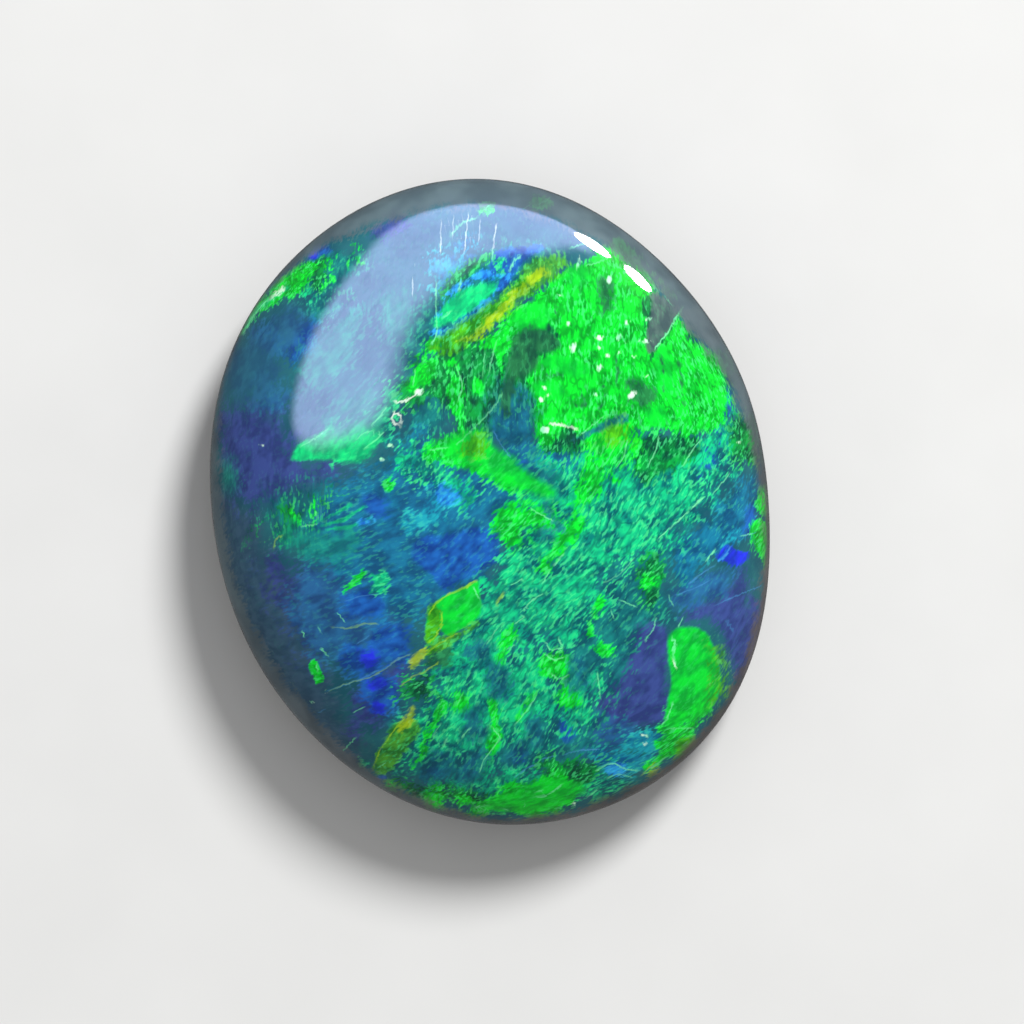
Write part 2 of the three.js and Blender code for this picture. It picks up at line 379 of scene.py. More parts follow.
PATCHES["green"] = [
    area(0.12, (1.75, 1.1), (2.1, 1.34), (2.5, 1.4), (2.6, 1.05), (2.35, 0.6), (2, 0.4), (1.8, 0.7)),
    # Edge of the upper left, right to the rim
    area(0.05, (-4.45, 3), (-4.28, 3.35), (-4.02, 3.7), (-3.7, 4), (-3.35, 4.25), (-3.12, 4.3),
        (-3.1, 4.12), (-3.28, 3.86), (-3.5, 3.68), (-3.85, 3.5), (-4.1, 3.36), (-4.3, 3.2)),
    # Under the band of olive
    area(0.06, (-1.2, 2.5), (-0.9, 2.66), (-0.3, 2.92), (0.2, 3.3), (0.6, 3.75), (0.9, 3.95), (0.5, 4),
        (0.1, 3.6), (-0.4, 3.25), (-1.1, 2.8)),
    # Veins and streaks
    streak(0.06, 0.09, (-0.74, 2.45), (-0.64, 2.05), (-0.57, 1.65), (-0.52, 1.35)),
    streak(0.05, 0.05, (-0.19, -4.72), (0, -4.39), (0.16, -4.02), (0.08, -3.65), (0, -3.5)),
    streak(0.05, 0.05, (0.46, -3.84), (0.64, -3.51), (0.78, -3.24)),
    streak(0.05, 0.05, (-1.35, -4.67), (-1.2, -4.4)),
    streak(0.05, 0.05, (-1.07, -4.1), (-0.89, -3.75)),
    streak(0.05, 0.1, (0.36, -2.25), (0.28, -2.5), (0.18, -2.8)),
    streak(0.05, 0.05, (1.72, -2.3), (1.84, -2), (1.92, -1.7)),
    # Left of the middle
    spot(0.06, 0.12, 0.06, 5, (-3.15, -0.37)),
    streak(0.03, 0.02, (-3.12, -0.3), (-3.09, 0.06)),
    streak(0.03, 0.02, (-3.2, -0.3), (-3.26, -0.02)),
    streak(0.03, 0.02, (-3.35, -0.38), (-3.5, -0.15)),
    # Green edge of the upper left
    streak(0.03, 0.02, (-2.99, 4.31), (-2.92, 4.13)),
    streak(0.03, 0.02, (-2.97, 4.13), (-2.91, 3.85)),
    streak(0.03, 0.02, (-2.8, 4.27), (-2.73, 4.36)),
    streak(0.03, 0.02, (-2.81, 4.13), (-2.79, 3.92)),
    streak(0.03, 0.02, (-3.01, 3.78), (-2.92, 3.87)),
    streak(0.03, 0.02, (-2.55, 4.31), (-2.52, 4.13)),
    streak(0.03, 0.02, (-2.45, 4.57), (-2.31, 4.5)),
    streak(0.03, 0.02, (-2.43, 4.41), (-2.29, 4.22)),
    # Above the crescent
    area(0.04, (-0.19, 5.29), (0.04, 5.32), (0.04, 5.15), (-0.17, 5.13)),
    area(0.04, (0.74, 5.41), (1.04, 5.42), (1.04, 5.26), (0.76, 5.23)),
    spot(0.04, 0.09, 0.07, 0, (-1.76, 0.32)),
    # Brighter veins
    area(0.04, (-1.43, 2.02), (-1.34, 2.39), (-1.06, 2.56), (-0.9, 2.58), (-0.92, 2.23), (-1.04, 2.07),
        (-1.25, 2.02)),
    area(0.03, (-0.41, 2.77), (-0.08, 2.86), (0.2, 2.95), (0.29, 2.72), (0.2, 2.44), (0.15, 2.37),
        (0.06, 2.65), (-0.13, 2.72), (-0.36, 2.74)),
    streak(0.03, 0.03, (-0.64, 2.51), (-0.5, 2.02), (-0.59, 1.74), (-0.52, 1.51), (-0.52, 1.23)),
    area(0.03, (-0.29, 2.21), (-0.13, 2.14), (-0.17, 1.9), (-0.31, 2)),
    streak(0.03, 0.02, (0.18, 2.77), (0.2, 2.23), (0.15, 1.88)),
    area(0.07, (-1.2, 0.85), (-1.08, 1.09), (-0.9, 1.2), (-0.69, 1.2), (-0.45, 1.13), (-0.27, 1.04),
        (-0.13, 0.76), (0.01, 0.53), (0.2, 0.53), (0.53, 0.36), (0.62, 0.2), (0.43, 0.2), (0.11, 0.29),
        (-0.27, 0.48), (-0.59, 0.53), (-0.9, 0.67), (-1.13, 0.76)),
    # The vivid field
    area(0.05, (0.05, 2.75), (0.07, 3), (0.59, 3.51), (0.95, 3.8), (1.39, 4.13), (1.83, 4.39),
        (2.2, 4.68), (2.49, 4.46), (2.79, 4.17), (2.93, 3.87), (2.71, 3.58), (2.75, 3.07), (2.82, 2.55),
        (2.93, 2.66), (3.19, 3.07), (3.34, 3.4), (3.52, 2.92), (3.96, 2.7), (4.11, 2.41), (4.25, 1.89),
        (4.11, 1.45), (3.67, 1.2), (3.08, 1.25), (2.57, 1.25), (2.42, 1.16), (1.91, 0.94), (1.54, 1.16),
        (1.32, 1.31), (0.88, 0.94), (0.73, 1.31), (0.76, 1.9), (0.62, 2.14), (0.83, 2.55), (1.15, 2.75),
        (1.1, 3.05), (0.85, 3.12), (0.55, 3), (0.45, 2.7), (0.25, 2.65)),
    # Middle
    area(0.06, (0.15, -0.66), (0.22, -0.38), (0.34, -0.24), (0.57, -0.15), (0.9, -0.1), (1.11, -0.24),
        (0.99, -0.4), (0.85, -0.47), (0.62, -0.38), (0.57, -0.57), (0.53, -0.71), (0.39, -0.82),
        (0.27, -0.75)),
    box(0.12, (0.13, -0.06), (1.11, -0.5)),
    area(0.08, (1.5, -0.2), (1.8, 0.1), (2.1, 0.6), (2.3, 1), (1.9, 0.95), (1.6, 0.5), (1.35, 0)),
    area(0.08, (0.9, -1.2), (1.3, -0.9), (1.6, -0.4), (1.5, -0.2), (1.1, -0.6), (0.8, -1)),
    # Left middle
    area(0.03, (-2.57, -1.57), (-2.5, -1.41), (-2.36, -1.24), (-2.22, -1.13), (-2.26, -1.34),
        (-2.4, -1.5)),
    # Lower middle
    area(0.03, (-0.04, -3.5), (0.1, -3.48), (0.12, -3.9), (0.22, -4.13), (0.08, -4.34), (-0.09, -4.55),
        (-0.23, -4.74), (-0.25, -4.6), (-0.09, -4.27), (-0.02, -3.95)),
    box(0.06, (1.22, -3.01), (1.55, -3.55)),
    box(0.06, (0.92, -2.66), (1.34, -3.04)),
    area(0.03, (-0.61, -3.39), (-0.52, -3.29), (-0.45, -3.39), (-0.45, -3.55), (-0.54, -3.64),
        (-0.64, -3.55)),
    area(0.03, (-1.45, -4.72), (-1.43, -4.6), (-1.31, -4.51), (-1.27, -4.37), (-1.13, -4.3),
        (-1.15, -4.48), (-1.27, -4.62), (-1.36, -4.72)),
    area(0.04, (-1.27, -4.32), (-1.13, -3.99), (-1.01, -3.76), (-0.92, -3.53), (-0.78, -3.53),
        (-0.8, -3.71), (-0.92, -3.9), (-1.06, -4.13), (-1.2, -4.37)),
    box(0.05, (-1.13, -4.93), (-0.85, -5.44)),
    box(0.05, (-0.59, -5.18), (-0.38, -5.35)),
    box(0.05, (-0.38, -5.35), (-0.1, -5.56)),
    box(0.05, (-1.9, -4.95), (-1.73, -5.09)),
    box(0.05, (-0.41, -5.35), (-0.23, -5.53)),
    box(0.06, (-0.64, -3.3), (-0.38, -3.6)),
    spot(0.05, 0.13, 0.12, 0, (2.76, -1.38)),
    spot(0.05, 0.18, 0.1, 0, (1.98, -2.56)),
    area(0.05, (0.15, -2.57), (0.13, -2.39), (0.25, -2.25), (0.39, -2.22), (0.36, -2.43), (0.2, -2.67)),
    # Foot of the stone
    area(0.06, (-0.13, -5.39), (0.01, -5.21), (0.17, -5.04), (0.4, -4.97), (0.71, -5.02), (0.89, -4.88),
        (0.99, -4.74), (1.17, -4.65), (1.38, -4.74), (1.41, -5.02), (1.5, -5.18), (1.43, -5.35),
        (1.17, -5.49), (0.89, -5.56), (0.61, -5.56), (0.4, -5.53), (0.24, -5.42), (-0.02, -5.39)),
    area(0.04, (2.93, -3.99), (3.07, -3.9), (3.21, -3.81), (3.42, -3.88), (3.67, -3.9), (3.77, -3.81),
        (3.67, -3.99), (3.6, -4.13), (3.44, -4.37), (3.3, -4.48), (3.07, -4.6), (2.83, -4.76),
        (2.65, -4.83), (2.69, -4.67), (2.83, -4.55), (2.97, -4.44), (2.93, -4.23), (3.07, -4.11)),
    box(0.06, (3.21, -3.53), (3.84, -3.81)),
    # Rim at the right
    area(0.04, (4.72, -0.4), (4.95, -0.4), (4.94, -0.75), (4.88, -0.96), (4.86, -1.15), (4.77, -0.96),
        (4.65, -0.84), (4.63, -0.68)),
    area(0.04, (4.86, 0.3), (4.94, 0.13), (4.95, -0.17), (4.81, -0.19), (4.72, -0.05)),
    box(0.06, (4.63, -0.33), (4.95, -0.8)),
    # Spark at the lower left
    area(0.02, (-3.2, -2.86), (-3.1, -2.78), (-3.04, -2.94), (-2.97, -3.06), (-2.98, -3.15),
        (-3.07, -3.18), (-3.12, -3.06)),
]
PATCHES["pool"] = [
    area(0.03, (1.5, 1.12), (1.75, 1.3), (2.05, 1.48), (2.4, 1.56), (2.42, 1.42), (2.1, 1.34),
        (1.8, 1.18)),
    # Dark blue-green gaps between the streaks
    area(0.1, (0, -2.87), (0.33, -2.85), (0.4, -3.15), (0.25, -3.4), (0.02, -3.35)),
    area(0.1, (-1.3, -4.75), (-1, -4.4), (-0.7, -4.35), (-0.65, -4.7), (-0.95, -5), (-1.25, -5)),
    area(0.08, (-0.62, -4.95), (-0.5, -4.5), (-0.2, -4.3), (-0.05, -4.5), (-0.25, -4.9)),
    area(0.08, (0.15, -4.55), (0.35, -4.25), (0.62, -4.2), (0.66, -4.5), (0.4, -4.65)),
    area(0.08, (0.62, -4.2), (0.62, -3.85), (0.85, -3.72), (0.98, -4), (0.85, -4.3)),
    area(0.1, (1.34, -3.3), (1.4, -2.8), (1.65, -2.6), (1.8, -2.9), (1.7, -3.3)),
    area(0.08, (-0.45, -2.55), (-0.2, -2.4), (0.05, -2.45), (-0.1, -2.65), (-0.35, -2.7)),
    area(0.1, (-0.5, -3.9), (-0.3, -3.6), (-0.1, -3.75), (-0.15, -4.1), (-0.4, -4.2)),
    area(0.08, (0.76, -0.5), (0.98, -0.42), (1.12, -0.6), (0.95, -0.68)),
    streak(0.05, 0.05, (0.95, 0), (1.05, -0.2), (1.22, -0.45)),
    area(0.12, (0.72, 0.62), (0.8, 0.2), (1.05, 0.1), (1.2, 0.45), (1.05, 0.65)),
    # Smooth wedge under the veins
    area(0.14, (0.1, 2), (0.4, 2.15), (0.7, 1.7), (0.75, 1.2), (0.85, 0.6), (0.6, 0.5), (0.3, 0.9),
        (0.05, 1.4)),
]
PATCHES["slab"] = [
    # Flat bright places in the field
    area(0.05, (0.85, 2.45), (1.1, 2.6), (1.5, 2.5), (1.75, 2.35), (1.6, 2.2), (1.2, 2.3)),
    area(0.05, (0.7, 2.1), (1, 2.15), (1.25, 2.05), (1.25, 1.85), (0.95, 1.8), (0.8, 1.9)),
    area(0.06, (0.55, 3.4), (0.85, 3.5), (1.1, 3.3), (0.95, 3.15), (0.65, 3.15)),
    area(0.06, (2.9, 2.6), (3.1, 2.7), (3.2, 2.3), (3.15, 1.9), (2.95, 2)),
    area(0.06, (1.3, 4.1), (1.6, 4.2), (1.75, 3.95), (1.5, 3.8)),
    area(0.06, (2.7, 1.65), (3, 1.7), (3.1, 1.45), (2.8, 1.35)),
    area(0.08, (-0.35, -5.38), (0, -5.25), (0.4, -5.1), (0.8, -4.92), (1.15, -4.85), (1.5, -4.92),
        (1.7, -5.08), (1.3, -5.3), (0.8, -5.45), (0.2, -5.47)),
    # Smooth greens: the triangle under the crescent, the leaf, the lobe at the right
    area(0.03, (-1.13, -2.43), (-1.11, -1.97), (-0.97, -1.73), (-0.73, -1.59), (-0.5, -1.48),
        (-0.29, -1.38), (-0.17, -1.36), (-0.22, -1.45), (-0.17, -1.71), (-0.2, -1.97), (-0.41, -2.15),
        (-0.59, -2.25), (-0.69, -2.34), (-0.83, -2.29), (-0.9, -2.2), (-1.01, -2.43)),
    area(0.04, (3.13, -2.35), (3.27, -2.22), (3.5, -2.18), (3.75, -2.25), (3.9, -2.45), (4.02, -2.8),
        (4.08, -3.2), (4, -3.5), (3.8, -3.75), (3.4, -3.9), (3.08, -3.95), (3.12, -3.5), (3.18, -3.15),
        (3.13, -2.8)),
    area(0.1, (-0.59, 1.23), (-0.27, 1.27), (0.2, 0.9), (0.78, 0.48), (1.13, 0.2), (0.9, 0.11),
        (0.2, 0.34), (-0.41, 0.67), (-0.83, 0.9)),
    box(0.05, (0.48, 3.38), (0.95, 3.03)),
]
PATCHES["jade"] = [
    area(0.04, (-3.49, 0.76), (-3.47, 0.9), (-3.33, 1.06), (-3, 1.23), (-2.77, 1.39), (-2.73, 1.13),
        (-2.7, 0.9), (-2.74, 0.79), (-2.86, 0.76), (-3.19, 0.75)),
    # Streak beneath the reflection, and the triangle's pale part
    area(0.04, (-1.01, 3.12), (-0.83, 3.49), (-0.55, 3.72), (-0.27, 3.81), (0.05, 3.86), (0.1, 3.77),
        (-0.18, 3.49), (-0.45, 3.31), (-0.69, 3.17), (-0.92, 3.07)),
    area(0.08, (-2.75, 0.75), (-2.72, 1.2), (-2.3, 1.42), (-1.95, 1.3), (-2, 0.98), (-2.3, 0.74)),
    streak(0.03, 0.025, (-3, -0.4), (-2.6, -0.3), (-2.2, -0.05)),
    streak(0.03, 0.022, (-2.9, -0.46), (-2.5, -0.43), (-2.1, -0.26)),
    streak(0.03, 0.02, (-3.05, -0.33), (-2.7, -0.18), (-2.45, -0.02)),
    streak(0.03, 0.04, (-4.36, 3.14), (-4.15, 3.45), (-3.85, 3.66), (-3.6, 3.82)),
]
PATCHES["hole"] = [
    area(0.08, (2.35, 2.1), (2.6, 2.15), (2.85, 2), (2.8, 1.75), (2.5, 1.72)),
    streak(0.03, 0.015, (0.85, 2.28), (1.05, 2.24), (1.24, 2.26)),
    streak(0.03, 0.015, (2.57, 1.96), (2.6, 1.6), (2.62, 1.3)),
    streak(0.03, 0.015, (1.4, 1.85), (1.5, 1.7), (1.68, 1.72), (1.6, 1.88)),
    streak(0.03, 0.015, (2.2, 2.5), (2.25, 2.3), (2.2, 2.15)),
    streak(0.03, 0.015, (3, 2.6), (3.05, 2.2), (3.02, 1.9)),
    streak(0.03, 0.012, (3.3, 2.5), (3.36, 2.1), (3.4, 1.7)),
    streak(0.03, 0.015, (1.1, 3.6), (1.15, 3.4), (1.1, 3.2)),
    streak(0.03, 0.012, (1.9, 1.6), (2, 1.9), (1.95, 2.2)),
    area(0.06, (0.46, 2.93), (0.71, 3.12), (0.97, 3), (1.18, 2.86), (1.11, 2.65), (0.83, 2.6),
        (0.85, 2.39), (0.62, 2.21), (0.43, 2.07), (0.34, 1.6), (0.2, 1.6), (0.15, 1.83), (0.25, 2.21),
        (0.32, 2.53), (0.34, 2.77)),
    box(0.09, (1.91, 3.91), (2.12, 3.4)),
    box(0.07, (-1.13, -2.55), (-0.73, -2.85)),
]
PATCHES["grey"] = [
    # The notch at the upper right
    area(0.04, (2.8, 3.66), (2.89, 3.73), (3.03, 3.68), (3.22, 3.49), (3.36, 3.47), (3.27, 3.26),
        (3.13, 3.03), (3.01, 2.89), (2.89, 2.72), (2.8, 2.65), (2.75, 2.79), (2.73, 2.98), (2.8, 3.21),
        (2.82, 3.45)),
    area(0.07, (3.35, 3.35), (3.7, 3.45), (4.1, 2.9), (3.9, 2.75), (3.55, 3)),
]
PATCHES["mist"] = [
    # Smooth flank at the upper left, and the soft green spot at the left
    area(0.3, (-4.75, 2.7), (-4.3, 2.95), (-3.9, 2.9), (-3.75, 2.3), (-3.9, 1.9), (-4.5, 1.75),
        (-4.8, 2.2)),
    area(0.2, (-3.9, 3.3), (-3.5, 3.45), (-3.25, 3.2), (-3.4, 2.8), (-3.75, 2.8)),
]
PATCHES["haze"] = [
    area(0.2, (-3.7, -0.5), (-3.1, -0.42), (-2.4, -0.5), (-2.3, -0.8), (-2.6, -1.05), (-3.2, -0.95),
        (-3.6, -0.75)),
    area(0.3, (-3.3, 2.3), (-3, 2.9), (-2.6, 3.3), (-2.2, 3.3), (-2.3, 2.7), (-2.7, 2.2), (-3, 2)),
    area(0.2, (-1.8, 3.6), (-1.45, 3.7), (-1.35, 3.2), (-1.6, 2.8), (-1.9, 3)),
    area(0.2, (-2.9, 1.3), (-2.6, 1.8), (-2.1, 2.1), (-1.85, 1.7), (-2.2, 1.1)),
    spot(0.12, 0.26, 0.16, 100, (-4.64, 0.45)),
]
PATCHES["ultra"] = [
    spot(0.04, 0.09, 0.08, 0, (-3.15, 4.38)),
    area(0.03, (3.97, -0.96), (4.14, -0.77), (4.25, -0.75), (4.39, -0.84), (4.58, -0.87), (4.53, -0.98),
        (4.3, -1.12), (4.11, -1.03)),
    spot(0.05, 0.14, 0.13, 0, (-2.15, -2.76)),
    spot(0.05, 0.15, 0.12, 0, (-1.99, -3.18)),
    spot(0.05, 0.12, 0.1, 90, (-1.99, -3.6)),
    spot(0.1, 0.13, 0.12, 0, (-2.17, -2.74)),
]
PATCHES["sky"] = [
    streak(0.04, 0.05, (-1, 3.02), (-0.85, 2.96), (-0.62, 3.08)),
    streak(0.04, 0.035, (-0.6, 3.1), (-0.2, 3.4), (0.12, 3.7), (0.3, 3.92)),
    streak(0.04, 0.035, (-0.93, 3.3), (-0.78, 3.62), (-0.5, 3.85), (-0.1, 3.98), (0.15, 4)),
    spot(0.08, 0.17, 0.14, 0, (-0.78, 0.15)),
    area(0.03, (-0.36, 3.92), (-0.24, 4.06), (-0.05, 4.15), (0.02, 4.1), (-0.1, 3.96), (-0.29, 3.89)),
    spot(0.03, 0.08, 0.05, 45, (0.32, 3.97)),
    box(0.04, (-2.33, -0.26), (-2.1, -0.4)),
    streak(0.02, 0.02, (4.01, -1.03), (4.16, -0.89), (4.23, -0.77)),
    box(0.05, (2.04, -4.65), (2.34, -4.83)),
]
PATCHES["olive"] = [
    area(0.06, (-1.05, 2.7), (-0.75, 2.8), (-0.26, 2.85), (0.25, 3.3), (0.71, 3.68), (1.16, 4.02),
        (1.32, 4.2), (1.3, 4.38), (0.88, 4.25), (0.42, 3.93), (-0.09, 3.45), (-0.75, 3.05)),
    area(0.03, (-1.12, -1.85), (-0.95, -1.75), (-0.88, -2.1), (-0.98, -2.35), (-1.15, -2.45),
        (-1.1, -2.1)),
    # Band from the veins to the top of the field
    area(0.05, (-0.73, 2.96), (-0.4, 3.1), (-0.12, 3.43), (0.04, 3.57), (0.3, 3.8), (0.48, 3.92),
        (0.53, 4.1), (0.74, 4.29), (1.07, 4.31), (1.42, 4.22), (1.18, 4.08), (1.04, 3.92), (0.74, 3.8),
        (0.6, 3.66), (0.44, 3.57), (0.23, 3.52), (0.23, 3.33), (0.04, 3.12), (-0.19, 2.94),
        (-0.38, 2.8), (-0.61, 2.63), (-0.89, 2.59), (-0.94, 2.68)),
    spot(0.08, 0.2, 0.16, 60, (-0.27, 1)),
    spot(0.2, 0.2, 0.17, 50, (2.15, 1.25)),
    # Edge of the leaf and what trails from it
    area(0.03, (-1.11, -2.55), (-0.9, -2.36), (-0.59, -2.25), (-0.27, -2.08), (-0.17, -2.08),
        (-0.27, -2.2), (-0.59, -2.41), (-0.9, -2.57), (-1.13, -2.69)),
    area(0.04, (-2.06, -4.74), (-2.11, -4.6), (-1.97, -4.32), (-1.9, -4.18), (-1.76, -4.02),
        (-1.62, -3.88), (-1.43, -3.81), (-1.27, -3.9), (-1.31, -4.13), (-1.5, -4.37), (-1.69, -4.6),
        (-1.87, -4.79), (-2.06, -4.83)),
    spot(0.06, 0.1, 0.08, 0, (4.16, -3.43)),
    area(0.06, (3.3, -4.18), (3.63, -4.18), (3.53, -4.48), (3.25, -4.55)),
    area(0.14, (3.86, -2.45), (4.04, -2.69), (4.14, -3.2), (4.09, -3.55), (3.97, -3.55), (3.97, -2.97)),
    box(0.1, (-0.41, 1.18), (-0.13, 0.83)),
]
PATCHES["amber"] = [
    area(0.04, (-1.62, -3.95), (-1.5, -3.75), (-1.42, -3.55), (-1.3, -3.6), (-1.4, -3.85),
        (-1.58, -4.02)),
    spot(0.07, 0.14, 0.1, 45, (0.39, 3.71)),
    area(0.05, (-0.6, 2.88), (-0.3, 3), (0.1, 3.42), (0.42, 3.75), (0.75, 4.05), (1, 4.18),
        (1.02, 4.06), (0.75, 3.86), (0.45, 3.58), (0.15, 3.3), (-0.2, 2.9)),
    area(0.025, (-1.4, -2.88), (-1.4, -2.71), (-1.27, -2.57), (-1.13, -2.55), (-1.15, -2.67),
        (-1.29, -2.83)),
    area(0.03, (-1.42, -2.92), (-1.41, -2.76), (-1.29, -2.64), (-1.13, -2.55), (-1.17, -2.71),
        (-1.29, -2.85)),
    spot(0.05, 0.13, 0.06, 30, (2.86, -4.8)),
]
PATCHES["spark"] = [
    spot(0.02, 0.05, 0.04, 0, (1.36, 3.15)),
    spot(0.02, 0.09, 0.04, 60, (1.45, 2.73)),
    spot(0.02, 0.06, 0.04, 0, (1.9, 2.91)),
    spot(0.02, 0.05, 0.02, 0, (1.21, 3.66)),
    spot(0.02, 0.08, 0.02, 90, (1.55, 4.29)),
    spot(0.02, 0.07, 0.05, 80, (2.08, 3.96)),
    spot(0.02, 0.05, 0.03, 30, (2.39, 3.18)),
    spot(0.02, 0.06, 0.04, 60, (2.24, 2.9)),
    spot(0.02, 0.06, 0.03, 0, (1.89, 2.92)),
    spot(0.02, 0.07, 0.05, 20, (1.45, 2.75)),
    spot(0.02, 0.08, 0.025, 0, (2.71, 2.86)),
    spot(0.02, 0.05, 0.02, 20, (2.75, 3.24)),
    spot(0.02, 0.035, 0.03, 0, (2.39, 2.83)),
    spot(0.02, 0.035, 0.03, 0, (1.89, 2.72)),
    spot(0.02, 0.04, 0.03, 20, (2.26, 2.65)),
    spot(0.02, 0.06, 0.04, 70, (1.9, 2.37)),
    spot(0.02, 0.035, 0.025, 0, (2.05, 2.58)),
    spot(0.02, 0.08, 0.03, 80, (1.55, 4.22)),
    spot(0.02, 0.04, 0.03, 0, (2.51, 2.58)),
    spot(0.02, 0.05, 0.03, 20, (2.75, 2.24)),
    spot(0.02, 0.04, 0.03, 0, (-1.75, 1)),
    spot(0.02, 0.04, 0.03, 0, (-1.91, 0.77)),
    spot(0.02, 0.03, 0.02, 0, (-4.03, 1.03)),
    spot(0.02, 0.07, 0.05, 20, (-1.25, 1.95)),
    spot(0.02, 0.08, 0.07, 0, (0.95, 1.28)),
    spot(0.02, 0.05, 0.03, 0, (0.94, 2.02)),
    spot(0.02, 0.05, 0.04, 0, (0.89, 1.82)),
    spot(0.02, 0.04, 0.03, 0, (1.01, 1.9)),
    spot(0.02, 0.08, 0.04, 90, (1.45, 2.74)),
    spot(0.02, 0.04, 0.025, 0, (-0.38, 1.28)),
    spot(0.02, 0.09, 0.05, 50, (2.48, 1.91)),
    spot(0.02, 0.05, 0.03, 0, (1.9, 2.36)),
    spot(0.02, 0.04, 0.03, 0, (1.83, 1.91)),
    spot(0.02, 0.04, 0.025, 0, (4.42, 1.07)),
    spot(0.02, 0.03, 0.025, 0, (-2.92, -3.33)),
    spot(0.02, 0.03, 0.02, 0, (-2.92, -3.33)),
    spot(0.02, 0.03, 0.02, 0, (-3.16, -3.52)),
    spot(0.02, 0.05, 0.03, 60, (1.47, -5.34)),
    spot(0.02, 0.025, 0.025, 0, (2.66, -4.09)),
    spot(0.02, 0.025, 0.025, 0, (2.74, -4.13)),
    spot(0.02, 0.025, 0.025, 0, (2.72, -4.25)),
]

# Fine bright lines over the patches, again from the lowest colour to the uppermost
THREADS = {}
THREADS["azure"] = [
    # Fibres at the lower left
    thread(0.016, 0.6, (-2.82, -2.78), (-2.57, -2.62), (-2.29, -2.43), (-2.15, -2.34)),
    thread(0.018, 0.6, (-2.89, -3.32), (-2.38, -3.13), (-1.91, -2.92), (-1.63, -2.74), (-1.4, -2.64)),
    thread(0.016, 0.6, (-2.92, -2.87), (-2.74, -2.76), (-2.57, -2.64), (-2.43, -2.52)),
    thread(0.014, 0.5, (-3.06, -3.71), (-2.92, -3.64)),
    # Lower middle and right
    thread(0.014, 0.6, (0.43, -4.83), (0.61, -4.69), (0.8, -4.6)),
    thread(0.016, 0.7, (1.22, -4.46), (1.5, -4.37), (1.87, -4.34)),
    thread(0.014, 0.5, (0.85, -4.53), (1.17, -4.44)),
    thread(0.016, 0.6, (3.48, -1.43), (3.74, -1.22), (3.97, -1.08)),
    thread(0.014, 0.5, (3.97, -1.8), (4.16, -1.71), (4.53, -1.57), (4.81, -1.47)),
    thread(0.014, 0.5, (3.27, -1.61), (3.6, -1.5), (3.83, -1.38)),
    thread(0.016, 0.7, (4.01, -1.03), (4.16, -0.89), (4.23, -0.77)),
    thread(0.03, 0.3, (4.18, -2.08), (4.28, -2.27)),
    thread(0.016, 0.5, (4.51, -0.57), (4.7, -0.52)),
    thread(0.016, 0.4, (0.06, 1.23), (0.2, 0.99), (0.34, 0.81)),
    thread(0.012, 0.4, (-2.57, -1.73), (-2.33, -1.64), (-1.98, -1.59)),
]
THREADS["straw"] = [
    # Lime edge of the leaf
    thread(0.022, 0.8, (-1.08, -1.94), (-0.97, -1.76), (-0.73, -1.59), (-0.45, -1.48), (-0.27, -1.37)),
    thread(0.022, 0.7, (-0.87, -1.92), (-0.85, -2.11), (-0.97, -2.34), (-1.08, -2.43)),
    thread(0.03, 0.6, (0.11, -1.76), (0.22, -1.59)),
    # Fibres that trail from it
    thread(0.018, 0.5, (-1.2, -2.69), (-0.9, -2.46), (-0.59, -2.29)),
    thread(0.018, 0.5, (-1.57, -3.2), (-1.36, -3.04), (-1.13, -2.94), (-0.92, -2.8)),
    thread(0.014, 0.4, (-2.85, -3.32), (-2.6, -3.2), (-2.29, -3.11), (-2.11, -3.06), (-1.87, -2.92),
        (-1.62, -2.73), (-1.41, -2.66)),
    thread(0.02, 0.7, (2.67, -4.83), (2.78, -4.72), (2.9, -4.6)),
    thread(0.018, 0.7, (-2.08, -4.67), (-1.97, -4.37), (-1.78, -4.11), (-1.62, -3.9)),
    thread(0.018, 0.5, (-3.83, -0.8), (-3.8, -0.65), (-3.7, -0.58)),
    thread(0.02, 0.35, (-2.8, -2.18), (-2.5, -2.2), (-2.2, -2.12), (-2, -2.12)),
]
